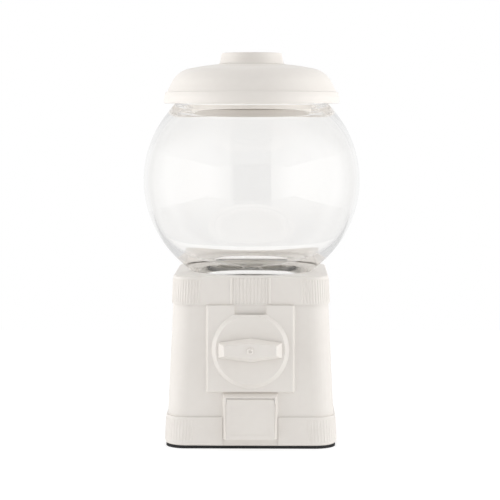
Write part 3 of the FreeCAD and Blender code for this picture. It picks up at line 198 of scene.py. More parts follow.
def new_group(
        name: str, inputs: dict[str, float], outputs: Iterable[str]) -> tuple[Tree, Node, Node]:
    """Start a shader node group with float inputs, a vector input and float outputs.

    Args:
        name: Name of the group.
        inputs: Names and default values of its float inputs.
        outputs: Names of its float outputs.

    Returns:
        The tree, its input node and its output node.
    """
    tree = bpy.data.node_groups.new(name, "ShaderNodeTree")
    sockets = tree.interface
    sockets.new_socket("Vector", in_out="INPUT", socket_type="NodeSocketVector")
    for socket, value in inputs.items():
        made = sockets.new_socket(socket, in_out="INPUT", socket_type="NodeSocketFloat")
        made.default_value = value
    for socket in outputs:
        sockets.new_socket(socket, in_out="OUTPUT", socket_type="NodeSocketFloat")
    return tree, tree.nodes.new("NodeGroupInput"), tree.nodes.new("NodeGroupOutput")


def mottle_group() -> Tree:
    """Cloudy variation of a finish: broad clouds with finer ones in them.

    Returns:
        Group with inputs Vector, Scale and Fine Share, and the output Cloud from 0 to 1.
    """
    tree, entry, leave = new_group("mottle", {"Scale": 20.0, "Fine Share": 0.3}, ["Cloud"])
    place, scale = entry.outputs["Vector"], entry.outputs["Scale"]
    broad, fine = (
        add_node(tree, "ShaderNodeTexNoise", {
            "Vector": place, "Scale": size, "Detail": CLOUD_DETAIL}).outputs[0]
        for size in (scale, maths(tree, "MULTIPLY", scale, FINE_CLOUDS)))
    mixed = blend(tree, entry.outputs["Fine Share"], broad, fine)
    tree.links.new(ramp(tree, mixed, CLOUD_CONTRAST), leave.inputs["Cloud"])
    return tree


def grain_group() -> Tree:
    """Fine grain: the orange peel of paint, the skin of rubber or the drawn lines of metal.

    Returns:
        Group with inputs Vector, Scale and Speck, and the outputs Height and Speckle.
    """
    tree, entry, leave = new_group(
        "fine_grain", {"Scale": 700.0, "Speck": 0.25}, ["Height", "Speckle"])
    place = {name: entry.outputs[name] for name in ("Vector", "Scale")}
    peel = add_node(tree, "ShaderNodeTexNoise", {**place, "Detail": GRAIN_DETAIL}).outputs[0]
    pores = add_node(tree, "ShaderNodeTexVoronoi", place).outputs["Distance"]
    tree.links.new(blend(tree, entry.outputs["Speck"], peel, pores), leave.inputs["Height"])
    tree.links.new(ramp(tree, pores, PORE_EDGE), leave.inputs["Speckle"])
    return tree


def shared_group(maker: Callable[[], Tree]) -> Tree:
    """Shader group that is built once and then used again.

    Args:
        maker: Function that builds the group.

    Returns:
        The group.
    """
    if maker.__name__ not in GROUPS:
        GROUPS[maker.__name__] = maker()
    return GROUPS[maker.__name__]


def seen_through(tree: Tree) -> Socket:
    """Mark the rays that went through glass without being mirrored on the way.

    Args:
        tree: Tree that gets the nodes.

    Returns:
        One for such a ray, else zero.
    """
    path = tree.nodes.new("ShaderNodeLightPath").outputs
    straight = maths(tree, "LESS_THAN", path["Glossy Depth"], FIRST_MIRROR)
    return maths(tree, "MULTIPLY", path["Is Transmission Ray"], straight)


# Finishes


def new_material(name: str) -> tuple[bpy.types.Material, Tree, Node]:
    """Start a material.

    Args:
        name: Name of the material.

    Returns:
        The material, its empty tree and its output node.
    """
    material = bpy.data.materials.new(name)
    material.use_nodes = True
    tree = material.node_tree
    tree.nodes.clear()
    return material, tree, tree.nodes.new("ShaderNodeOutputMaterial")


@dataclass(frozen=True)
class Finish:
    """Opaque finish with clouds of colour, changing gloss and a fine grain."""

    name: str
    slot: Slot
    deep: Colour
    pale: Colour
    smooth: float
    rough: float
    metallic: float = 0.0
    specular: float = 0.5
    cloud_scale: float = 16.0
    fine_share: float = 0.35
    cloud_gloss: float = 0.6
    speck_gloss: float = 0.4
    grain_scale: float = 750.0
    grain_depth: float = 0.03
    speck: float = 0.2
    stretch: Colour = (1.0, 1.0, 1.0)

    def material(self) -> bpy.types.Material:
        """Make the finish's material, or give the one already made.

        Returns:
            The material.
        """
        if self.name in bpy.data.materials:
            return bpy.data.materials[self.name]
        material, tree, output = new_material(self.name)
        place = add_node(tree, "ShaderNodeMapping", {
            "Vector": tree.nodes.new("ShaderNodeTexCoord").outputs["Object"],
            "Scale": self.stretch}).outputs[0]
        cloud = add_node(
            tree, "ShaderNodeGroup",
            {"Vector": place, "Scale": self.cloud_scale, "Fine Share": self.fine_share},
            node_tree=shared_group(mottle_group)).outputs["Cloud"]
        grain = add_node(
            tree, "ShaderNodeGroup",
            {"Vector": place, "Scale": self.grain_scale, "Speck": self.speck},
            node_tree=shared_group(grain_group)).outputs
        gloss = maths(tree, "MULTIPLY_ADD", grain["Speckle"], self.speck_gloss,
                      maths(tree, "MULTIPLY", cloud, self.cloud_gloss))
        roughness = add_node(tree, "ShaderNodeMapRange", {
            0: gloss, 3: self.smooth, 4: self.rough}).outputs[0]
        bump = add_node(tree, "ShaderNodeBump", {
            "Height": grain["Height"], "Distance": self.grain_depth * MM, "Strength": 1.0})
        shader = add_node(tree, "ShaderNodeBsdfPrincipled", {
            "Base Color": blend_colours(tree, cloud, self.deep, self.pale),
            "Roughness": roughness, "Metallic": self.metallic,
            "Specular IOR Level": self.specular, "Normal": bump.outputs[0]})
        tree.links.new(shader.outputs[0], output.inputs["Surface"])
        return material


@dataclass(frozen=True)
class ClearGlass:
    """Clear glass that lets light through to what is inside it."""

    name: str = "clear_globe_glass"
    slot: Slot = Slot.GLASS
    tint: Colour = (0.994, 0.988, 0.979)
    clear: Colour = (1.0, 0.997, 0.991)
    index: float = 1.5
    cloud_scale: float = 12.0
    trapped_after: float = 2.5

    def material(self) -> bpy.types.Material:
        """Make the glass material, or give the one already made.

        Light that falls on other pieces, and light mirrored too often, passes straight through.

        Returns:
            The material.
        """
        if self.name in bpy.data.materials:
            return bpy.data.materials[self.name]
        material, tree, output = new_material(self.name)
        place = tree.nodes.new("ShaderNodeTexCoord").outputs["Object"]
        cloud = add_node(tree, "ShaderNodeGroup", {"Vector": place, "Scale": self.cloud_scale},
                         node_tree=shared_group(mottle_group)).outputs["Cloud"]
        glass = add_node(tree, "ShaderNodeBsdfPrincipled", {
            "Base Color": blend_colours(tree, cloud, self.tint, self.clear), "Roughness": 0.0,
            "Metallic": 0.0, "IOR": self.index, "Transmission Weight": 1.0})
        straight = tree.nodes.new("ShaderNodeBsdfTransparent")
        path = tree.nodes.new("ShaderNodeLightPath").outputs
        trapped = maths(tree, "GREATER_THAN", path["Glossy Depth"], self.trapped_after)
        passing = maths(tree, "MAXIMUM", trapped, maths(
            tree, "MAXIMUM", path["Is Shadow Ray"], path["Is Diffuse Ray"]))
        mixed = add_node(tree, "ShaderNodeMixShader", {
            0: passing, 1: glass.outputs[0], 2: straight.outputs[0]})
        tree.links.new(mixed.outputs[0], output.inputs["Surface"])
        return material


IVORY_ENAMEL = Finish(
    "ivory_enamel", Slot.IVORY, deep=(0.792, 0.752, 0.708), pale=(0.816, 0.779, 0.735),
    smooth=0.30, rough=0.42, specular=0.4)
BLACK_RUBBER = Finish(
    "black_rubber_skin", Slot.RUBBER, deep=(0.012, 0.012, 0.013), pale=(0.026, 0.026, 0.027),
    smooth=0.62, rough=0.82, grain_scale=1400.0, grain_depth=0.05, speck=0.6)
PALE_RUBBER = Finish(
    "pale_rubber_skin", Slot.PALE_RUBBER, deep=(0.66, 0.63, 0.59), pale=(0.74, 0.71, 0.67),
    smooth=0.55, rough=0.75, grain_scale=1400.0, grain_depth=0.05, speck=0.6)
MOULDED_PLASTIC = Finish(
    "moulded_plastic", Slot.PLASTIC, deep=(0.70, 0.68, 0.64), pale=(0.77, 0.75, 0.71),
    smooth=0.38, rough=0.55, cloud_scale=30.0, grain_scale=1100.0)
PLAIN_STEEL = Finish(
    "drawn_steel", Slot.STEEL, deep=(0.47, 0.47, 0.46), pale=(0.63, 0.63, 0.62),
    smooth=0.24, rough=0.42, metallic=1.0, cloud_scale=90.0, stretch=(1.0, 1.0, 0.12))
PLAIN_BRASS = Finish(
    "turned_brass", Slot.BRASS, deep=(0.55, 0.38, 0.16), pale=(0.74, 0.56, 0.27),
    smooth=0.22, rough=0.4, metallic=1.0, cloud_scale=90.0, stretch=(1.0, 0.12, 1.0))
CLEAR_GLASS = ClearGlass()


# Meshes


SHARP_EDGE = 32.0
FLAT_EDGE = 1.0
EDGE_STEPS = 3
FLAT_WEIGHT = 100
MERGE_DISTANCE = 0.002
ON_AXIS = 1e-6
EASE_STEP = 18.0
EASE_SHARE = 0.45  # most of a side that a rounding may take


@dataclass(frozen=True)
class Corner:
    """Corner of a turned outline, measured from the axis and from the piece's datum.

    ease is the radius that breaks the corner. curve is the radius of the arc to the next corner,
    positive where it turns left, and zero where a straight line leads there.
    """

    out: float
    up: float
    ease: float = 0.0
    curve: float = 0.0


def arc_between(start: Vector, end: Vector, radius: float, step: float) -> list[Vector]:
    """Points on an arc of under a half circle, without its ends.

    Args:
        start: First end.
        end: Last end.
        radius: Radius, positive where the arc turns left.
        step: Greatest turn between points.

    Returns:
        The points between the ends.
    """
    chord = end - start
    half = chord.length / 2
    side = Vector((-chord.y, chord.x)).normalized() * math.copysign(1.0, radius)
    centre = (start + end) / 2 + side * math.sqrt(max(radius * radius - half * half, 0.0))
    first = start - centre
    sweep = 2 * math.asin(min(half / abs(radius), 1.0)) * math.copysign(1.0, radius)
    count = max(2, math.ceil(abs(math.degrees(sweep)) / step))
    return [centre + Matrix.Rotation(sweep * index / count, 2) @ first
            for index in range(1, count)]


def eased(before: Vector, corner: Vector, after: Vector, radius: float) -> list[Vector]:
    """Points that round one corner of an outline.

    Args:
        before: Point before the corner.
        corner: The sharp corner.
        after: Point after the corner.
        radius: Radius of the rounding.

    Returns:
        Points along the rounding, from first to last.
    """
    back, ahead = (before - corner), (after - corner)
    angle = back.angle(ahead)
    reach = min(radius / math.tan(angle / 2), EASE_SHARE * back.length, EASE_SHARE * ahead.length)
    start, end = corner + back.normalized() * reach, corner + ahead.normalized() * reach
    turn = math.copysign(reach * math.tan(angle / 2), back.y * ahead.x - back.x * ahead.y)
    return [start, *arc_between(start, end, turn, EASE_STEP), end]


def outline(corners: Sequence[Corner], step: float) -> list[Vector]:
    """Closed outline through corners, with its arcs and roundings as points.

    Args:
        corners: Corners in order, anticlockwise seen with the axis on the left.
        step: Greatest turn between points of an arc.

    Returns:
        Points of the outline.
    """
    points: list[tuple[Vector, float]] = []
    for index, corner in enumerate(corners):
        start = Vector((corner.out, corner.up))
        points.append((start, corner.ease))
        if corner.curve:
            follower = corners[(index + 1) % len(corners)]
            end = Vector((follower.out, follower.up))
            points += [(point, 0.0) for point in arc_between(start, end, corner.curve, step)]
    result: list[Vector] = []
    for index, (point, ease) in enumerate(points):
        if ease:
            after = points[(index + 1) % len(points)][0]
            result += eased(points[index - 1][0], point, after, ease)
        else:
            result.append(point)
    return result


def mesh_of(form: bmesh.types.BMesh, name: str) -> Mesh:
    """Turn a working form into a mesh that is shaded smooth except at sharp edges.

    Args:
        form: Working form, which is used up.
        name: Name of the mesh.

    Returns:
        The mesh.
    """
    mesh = bpy.data.meshes.new(name)
    form.to_mesh(mesh)
    form.free()
    mesh.polygons.foreach_set("use_smooth", [True] * len(mesh.polygons))
    mesh.set_sharp_from_angle(angle=math.radians(SHARP_EDGE))
    return mesh


def show(name: str, data: Mesh | bpy.types.Curve) -> Piece:
    """Object with a mesh or curve, at the origin of the scene.

    Args:
        name: Name of the object.
        data: What it shows.

    Returns:
        The new object.
    """
    made = bpy.data.objects.new(name, data)
    bpy.context.scene.collection.objects.link(made)
    return made


def turned(name: str, points: Sequence[Vector], segments: int, place: Matrix) -> Piece:
    """Solid turned from a closed outline about the Z axis.

    Args:
        name: Name of the piece.
        points: Outline, distance from the axis and height.
        segments: Number of steps round the axis.
        place: Transform of the finished mesh, in metres.

    Returns:
        The new object.
    """
    form = bmesh.new()
    rings = []
    for point in points:
        count = 1 if point.x < ON_AXIS else segments
        turns = [math.tau * index / segments for index in range(count)]
        rings.append([form.verts.new(Vector((
            point.x * math.cos(turn), point.x * math.sin(turn), point.y)) * MM) for turn in turns])
    for ring, follower in zip(rings, rings[1:] + rings[:1]):
        if len(ring) == 1 and len(follower) == 1:
            continue
        for index in range(segments):
            ahead = (index + 1) % segments
            around = [ring[index % len(ring)], ring[ahead % len(ring)],
                      follower[ahead % len(follower)], follower[index % len(follower)]]
            form.faces.new(list(dict.fromkeys(around)))
    bmesh.ops.recalc_face_normals(form, faces=form.faces)
    form.transform(place)
    return show(name, mesh_of(form, name))


def baked(carrier: Piece, name: str) -> Piece:
    """Turn an object's modifiers into a plain mesh piece and remove the object.

    Args:
        carrier: Object with modifiers.
        name: Name of the finished piece.

    Returns:
        The plain piece.
    """
    evaluated = carrier.evaluated_get(bpy.context.evaluated_depsgraph_get())
    mesh = bpy.data.meshes.new_from_object(evaluated)
    bpy.data.objects.remove(carrier)
    return show(name, mesh)


def skin_of(node: str, name: str, break_edges: float = 0.0) -> Piece:
    """Copy of a solid with joined faces, broken edges and smooth shading.

    Args:
        node: Solid to copy.
        name: Name of the piece.
        break_edges: Width of the broken edges, or zero for none.

    Returns:
        The new piece.
    """
    form = bmesh.new()
    form.from_mesh(frame["nodes"][node].data)
    bmesh.ops.remove_doubles(form, verts=form.verts, dist=MERGE_DISTANCE * MM)
    if break_edges:
        bmesh.ops.dissolve_limit(
            form, angle_limit=math.radians(FLAT_EDGE), verts=form.verts, edges=form.edges)
    carrier = show(f"{name}_form", mesh_of(form, name))
    if break_edges:
        bevel = carrier.modifiers.new("broken_edges", "BEVEL")
        bevel.width = break_edges * MM
        bevel.segments = EDGE_STEPS
        bevel.limit_method = "ANGLE"
        bevel.angle_limit = math.radians(SHARP_EDGE)
        bevel.use_clamp_overlap = True
    weighted = carrier.modifiers.new("flat_faces_lead", "WEIGHTED_NORMAL")
    weighted.keep_sharp = True
    weighted.weight = FLAT_WEIGHT
    return baked(carrier, name)


def place_piece(piece: Piece, body: Body, finish: Finish | ClearGlass, *nodes: str) -> None:
    """Dress a piece, hang it on its body and let it stand for solids.

    Args:
        piece: Finished piece.
        body: Body that it moves with.
        finish: Finish that it gets.
        *nodes: Solids that it replaces.
    """
    piece.data.materials.clear()
    piece.data.materials.append(finish.material())
    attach(piece, body.value)
    if nodes:
        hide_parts(*nodes)
    LOG.info("%s rides on %s, %d faces", piece.name, body.value, len(piece.data.polygons))


def dress_node(node: str, finish: Finish) -> None:
    """Give a solid that stays its finish.

    Args:
        node: Name of the solid.
        finish: Finish that it gets.
    """
    for slot in frame["nodes"][node].material_slots:
        slot.material = finish.material()
    LOG.info("%s keeps its solid, %s", node, finish.name)


# Sub-assemblies


RIB_SPINE_POINTS = 25
RIB_SECTION_POINTS = 14
RIB_FULLNESS = ((0.04, 0.75), (0.09, 1.0), (0.91, 1.0), (0.96, 0.75))  # along a rib, share of size


@dataclass
class RibRow:
    """Ribs round the four corners of one band."""

    name: str
    level: float
    height: float
    half: float
    count: int
    depth: float
    width: float = 1.9


def rib_tree() -> Tree:
    """Geometry nodes that set upright ribs along curves and lean them with the walls.

    A rib is made one unit wide, deep and high, with its ends closed in, and then sized.

    Returns:
        Tree with inputs Count, Width, Depth, Height, Slope, Level and Material.
    """
    tree = bpy.data.node_groups.new("band_ribs", "GeometryNodeTree")
    sockets = tree.interface
    sockets.new_socket("Geometry", in_out="OUTPUT", socket_type="NodeSocketGeometry")
    sockets.new_socket("Geometry", in_out="INPUT", socket_type="NodeSocketGeometry")
    kinds = {"Count": "Int", "Width": "Float", "Depth": "Float", "Height": "Float",
             "Slope": "Float", "Level": "Float", "Material": "Material"}
    for name, kind in kinds.items():
        sockets.new_socket(name, in_out="INPUT", socket_type=f"NodeSocket{kind}")
    entry = tree.nodes.new("NodeGroupInput").outputs
    leave = tree.nodes.new("NodeGroupOutput")
    row = add_node(tree, "GeometryNodeResampleCurve", {
        "Curve": entry["Geometry"], "Count": entry["Count"]}, mode="COUNT")
    upright = add_node(tree, "GeometryNodeCurvePrimitiveLine", {
        "Start": (0, 0, -0.5), "End": (0, 0, 0.5)})
    spine = add_node(tree, "GeometryNodeResampleCurve", {
        "Curve": upright.outputs[0], "Count": RIB_SPINE_POINTS}, mode="COUNT")
    swell = add_node(tree, "ShaderNodeFloatCurve", {
        "Value": add_node(tree, "GeometryNodeSplineParameter").outputs["Factor"]})
    shape = swell.mapping.curves[0]
    shape.points[0].location, shape.points[1].location = (0.0, 0.0), (1.0, 0.0)
    for along, size in RIB_FULLNESS:
        shape.points.new(along, size)
    swell.mapping.update()
    swollen = add_node(tree, "GeometryNodeSetCurveRadius", {
        "Curve": spine.outputs[0], "Radius": swell.outputs[0]})
    section = add_node(tree, "GeometryNodeCurvePrimitiveCircle", {
        "Resolution": RIB_SECTION_POINTS, "Radius": 0.5})
    rib = add_node(tree, "GeometryNodeCurveToMesh", {
        "Curve": swollen.outputs[0], "Profile Curve": section.outputs[0], "Fill Caps": True})
    facing = add_node(tree, "FunctionNodeAlignRotationToVector", {
        "Vector": add_node(tree, "GeometryNodeInputTangent").outputs[0]}, axis="X")
    double = maths(tree, "MULTIPLY", entry["Depth"], 2.0)
    size = add_node(tree, "ShaderNodeCombineXYZ", {
        0: entry["Width"], 1: double, 2: entry["Height"]})
    ribs = add_node(tree, "GeometryNodeInstanceOnPoints", {
        "Points": row.outputs[0], "Instance": rib.outputs[0], "Rotation": facing.outputs[0],
        "Scale": size.outputs[0]})
    solid = add_node(tree, "GeometryNodeRealizeInstances", {0: ribs.outputs[0]})
    spot = add_node(tree, "ShaderNodeSeparateXYZ", {
        0: add_node(tree, "GeometryNodeInputPosition").outputs[0]}).outputs
    below = maths(tree, "SUBTRACT", entry["Level"], spot["Z"])
    lean = maths(tree, "MULTIPLY", below, entry["Slope"])
    shift = add_node(tree, "ShaderNodeCombineXYZ", {
        axis: maths(tree, "MULTIPLY", maths(tree, "SIGN", spot[axis]), lean)
        for axis in ("X", "Y")})
    leaned = add_node(tree, "GeometryNodeSetPosition", {
        "Geometry": solid.outputs[0], "Offset": shift.outputs[0]})
    shaded = add_node(tree, "GeometryNodeSetShadeSmooth", {0: leaned.outputs[0]})
    dressed = add_node(tree, "GeometryNodeSetMaterial", {
        "Geometry": shaded.outputs[0], "Material": entry["Material"]})
    tree.links.new(dressed.outputs[0], leave.inputs[0])
    return tree


@dataclass
class Base:
    """Cast base with its ribbed bands, faceplate, spout, flap and rubber pad."""

    base_height: float = 166.2
    half_low: float = 82.16
    half_high: float = 74.43
    corner_radius: float = 21.0
    corner_step: int = 5
    top_band: float = 27.3
    top_proud: float = 1.0
    foot_band: float = 28.2
    foot_proud: float = 1.6
    foot_round: float = 3.2
    pad: float = 2.5
    panel_margin: float = 1.2
    panel_half: float = 17.5
    rim: float = 2.1
    rim_flank: float = 1.05
    rim_back: float = 0.45
    rim_proud: float = 0.8
    rim_sunk: float = 0.4
    rib_run: float = 5.5
    rib_sunk: float = 0.1
    top_ribs: int = 17
    top_rib_depth: float = 0.5
    top_rib_foot: float = 1.0
    top_rib_head: float = 3.4
    foot_ribs: int = 15
    foot_rib_depth: float = 0.38
    foot_rib_foot: float = 0.4
    foot_rib_head: float = 3.2
    plate_edge: float = 0.5
    spout_edge: float = 0.15
    flap_edge: float = 0.12
    pad_edge: float = 0.3
    finish: Finish = IVORY_ENAMEL

    @property
    def slope(self) -> float:
        """How far a wall leans in for each unit of height."""
        return (self.half_low - self.half_high) / self.base_height

    @property
    def band_foot(self) -> float:
        """Height of the top band's lower edge."""
        return self.base_height - self.top_band

    def half_at(self, height: float) -> float:
        """Half width of the plain body at a height."""
        return self.half_low - self.slope * height

    def rib_rows(self) -> list[RibRow]:
        """Rows of ribs on the top band and on the foot band.

        Returns:
            Sizes of the two rows.
        """
        top_span = (self.band_foot + self.top_rib_foot, self.base_height - self.top_rib_head)
        foot_span = (self.pad + self.foot_round + self.foot_rib_foot,
                     self.pad + self.foot_band - self.foot_rib_head)
        rows = []
        for name, (low, high), proud, count, depth in (
                ("top_band_ribs", top_span, self.top_proud, self.top_ribs, self.top_rib_depth),
                ("foot_band_ribs", foot_span, self.foot_proud, self.foot_ribs,
                 self.foot_rib_depth)):
            level = (low + high) / 2
            half = self.half_at(level) + proud - self.rib_sunk
            rows.append(RibRow(name, level, high - low, half, count, depth))
        return rows

    def corner_paths(self, row: RibRow) -> Piece:
        """Curve of four splines round the corners of a band.

        Args:
            row: Row of ribs that follows the curve.

        Returns:
            The curve object.
        """
        curve = bpy.data.curves.new(f"{row.name}_path", "CURVE")
        curve.dimensions = "3D"
        straight = row.half - self.corner_radius
        angles = [math.radians(angle) for angle in range(0, 91, self.corner_step)]
        points = [Vector((row.half, straight - self.rib_run, row.level))]
        points += [Vector((straight + self.corner_radius * math.cos(angle),
                           straight + self.corner_radius * math.sin(angle), row.level))
                   for angle in angles]
        points.append(Vector((straight - self.rib_run, row.half, row.level)))
        for quarter in range(4):
            turn = Matrix.Rotation(math.tau * quarter / 4, 3, "Z")
            spline = curve.splines.new("POLY")
            spline.points.add(len(points) - 1)
            for point, place in zip(spline.points, points):
                point.co = (*(turn @ place * MM), 1.0)
        return show(curve.name, curve)

    def ribs(self, row: RibRow, tree: Tree) -> Piece:
        """One row of ribs as a plain mesh.

        Args:
            row: Sizes of the row.
            tree: Geometry nodes that make it.

        Returns:
            The finished piece.
        """
        carrier = self.corner_paths(row)
        modifier = carrier.modifiers.new("ribs", "NODES")
        modifier.node_group = tree
        values = {"Count": row.count, "Width": row.width * MM, "Depth": row.depth * MM,
                  "Height": row.height * MM, "Slope": self.slope, "Level": row.level * MM,
                  "Material": self.finish.material()}
        for item in tree.interface.items_tree:
            if item.in_out == "INPUT" and item.name in values:
                modifier[item.identifier] = values[item.name]
        return baked(carrier, row.name)

    def panel_rims(self) -> Piece:
        """Raised rims at the two sides of the fluted panel, leaning with the front wall.

        Returns:
            The finished piece.
        """
        inner, outer = self.panel_half, self.panel_half + self.rim
        section = (
            (outer, self.rim_sunk), (outer, 0.0), (outer - self.rim_flank, -self.rim_proud),
            (inner + self.rim_back, -self.rim_proud), (inner, 0.0), (inner, self.rim_sunk))
        levels = (self.band_foot + self.panel_margin, self.base_height - self.panel_margin)
        form = bmesh.new()
        for side in (-1, 1):
            low, high = (
                [form.verts.new(Vector((
                    side * out, depth - self.half_at(level) - self.top_proud, level)) * MM)
                 for out, depth in section] for level in levels)
            form.faces.new(low)
            form.faces.new(high)
            for index in range(len(section)):
                form.faces.new((low[index - 1], low[index], high[index], high[index - 1]))
        bmesh.ops.recalc_face_normals(form, faces=form.faces)
        return show("panel_rims", mesh_of(form, "panel_rims"))

    def build(self) -> None:
        """Make and dress the base."""
        place_piece(skin_of("housing", "base_housing"), Body.BASE, self.finish, "housing")
        place_piece(self.panel_rims(), Body.BASE, self.finish)
        tree = rib_tree()
        for row in self.rib_rows():
            place_piece(self.ribs(row, tree), Body.BASE, self.finish)
        for node, name, edge, body, finish in (
                ("faceplate", "faceplate_cast", self.plate_edge, Body.BASE, self.finish),
                ("chute_spout", "chute_spout_cast", self.spout_edge, Body.BASE, self.finish),
                ("base_pad", "base_pad_rubber", self.pad_edge, Body.BASE, BLACK_RUBBER),
                ("chute_door", "spout_flap", self.flap_edge, Body.DOOR, self.finish)):
            place_piece(skin_of(node, name, edge), body, finish, node)


@dataclass
class Handle:
    """Turning grip with the small round screw head in its middle."""

    grip_edge: float = 0.5
    head_radius: float = 3.3
    head_height: float = 1.6
    head_side: float = 0.56
    dimple_radius: float = 1.5
    dimple_floor: float = 1.2
    dimple_depth: float = 0.9
    dimple_ease: float = 0.2
    arc_step: float = 9.0
    segments: int = 48
    finish: Finish = IVORY_ENAMEL

    def screw_head(self) -> list[Vector]:
        """Outline of the domed screw head, with a dimple in its middle and its foot in the grip.

        Returns:
            Points of the outline.
        """
        top, floor = self.head_height, self.head_height - self.dimple_depth
        return outline([
            Corner(0.0, -top), Corner(self.head_radius, -top),
            Corner(self.head_radius, self.head_side, curve=self.head_radius),
            Corner(self.dimple_radius, top, ease=self.dimple_ease),
            Corner(self.dimple_floor, floor), Corner(0.0, floor)], self.arc_step)

    def build(self) -> None:
        """Make and dress the grip and its screw."""
        grip = skin_of("turn_handle", "turn_grip", self.grip_edge)
        place_piece(grip, Body.HANDLE, self.finish, "turn_handle")
        joint = next(item for item in frame["joints"] if item["name"] == "handle_turn")
        axis = Vector(joint["axis"]).normalized()
        on_axis = Vector(joint["pos_m"])
        front = on_axis + axis * ((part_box("turn_handle")[0].y - on_axis.y) / axis.y)
        facing = axis.to_track_quat("Z", "Y").to_matrix().to_4x4()
        place = Matrix.Translation(front) @ facing
        head = turned("grip_screw_head", self.screw_head(), self.segments, place)
        place_piece(head, Body.HANDLE, self.finish, "handle_screw")


@dataclass
class Globe:
    """Clear glass sphere with its ground foot and thick lip."""

    radius: float = 108.1
    wall: float = 4.0
    land: float = 45.0
    outlet: float = 38.0
    outlet_ease: float = 0.8
    foot_swell: float = 8.0
    foot_turn: float = 28.0
    foot_ease: float = 1.5
    neck: float = 70.5
    neck_swell: float = 3.7
    neck_turn: float = 13.0
    neck_ease: float = 1.2
    lip_radius: float = 76.5
    lip_height: float = 2.41
    lip_round: float = 1.2
    mouth: float = 69.5
    arc_step: float = 2.0
    segments: int = 224
    finish: ClearGlass = CLEAR_GLASS

    def thickening(self, angle: float, end: Vector) -> tuple[Vector, float]:
        """Arc that leaves the inside of the wall smoothly, so that the glass grows thicker.

        Args:
            angle: Angle above the equator where the arc leaves the plain wall.
            end: Point where the arc ends.

        Returns:
            Point where the arc starts and its radius.
        """
        inner = self.radius - self.wall
        turn = Vector((math.cos(math.radians(angle)), math.sin(math.radians(angle))))
        shift = (end.length_squared - inner ** 2) / (2 * (end.dot(turn) - inner))
        return turn * inner, inner - shift

    def build(self) -> None:
        """Make and dress the globe."""
        inner = self.radius - self.wall
        rise = math.sqrt(self.radius ** 2 - self.lip_radius ** 2)
        top = rise + self.lip_height
        foot = -math.sqrt(self.radius ** 2 - self.land ** 2)
        foot_end = Vector((
            self.outlet, self.foot_swell - math.sqrt(inner ** 2 - self.outlet ** 2)))
        neck_end = Vector((
            self.neck, math.sqrt(inner ** 2 - self.neck ** 2) - self.neck_swell))
        foot_start, foot_curve = self.thickening(-self.foot_turn, foot_end)
        neck_start, neck_curve = self.thickening(self.neck_turn, neck_end)
        points = outline([
            Corner(self.land, foot, curve=self.radius),
            Corner(self.lip_radius, rise, ease=self.lip_round),
            Corner(self.lip_radius, top, ease=self.lip_round),
            Corner(self.mouth, top, ease=self.lip_round),
            Corner(*neck_end, ease=self.neck_ease, curve=-neck_curve),
            Corner(*neck_start, curve=-inner),
            Corner(*foot_start, curve=-foot_curve),
            Corner(*foot_end, ease=self.foot_ease),
            Corner(self.outlet, foot, ease=self.outlet_ease)], self.arc_step)
        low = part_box("globe")[0]
        centre = Matrix.Translation(Vector((0.0, 0.0, low.z - foot * MM)))
        globe = turned("glass_globe", points, self.segments, centre)
        place_piece(globe, Body.GLOBE, self.finish, "globe")


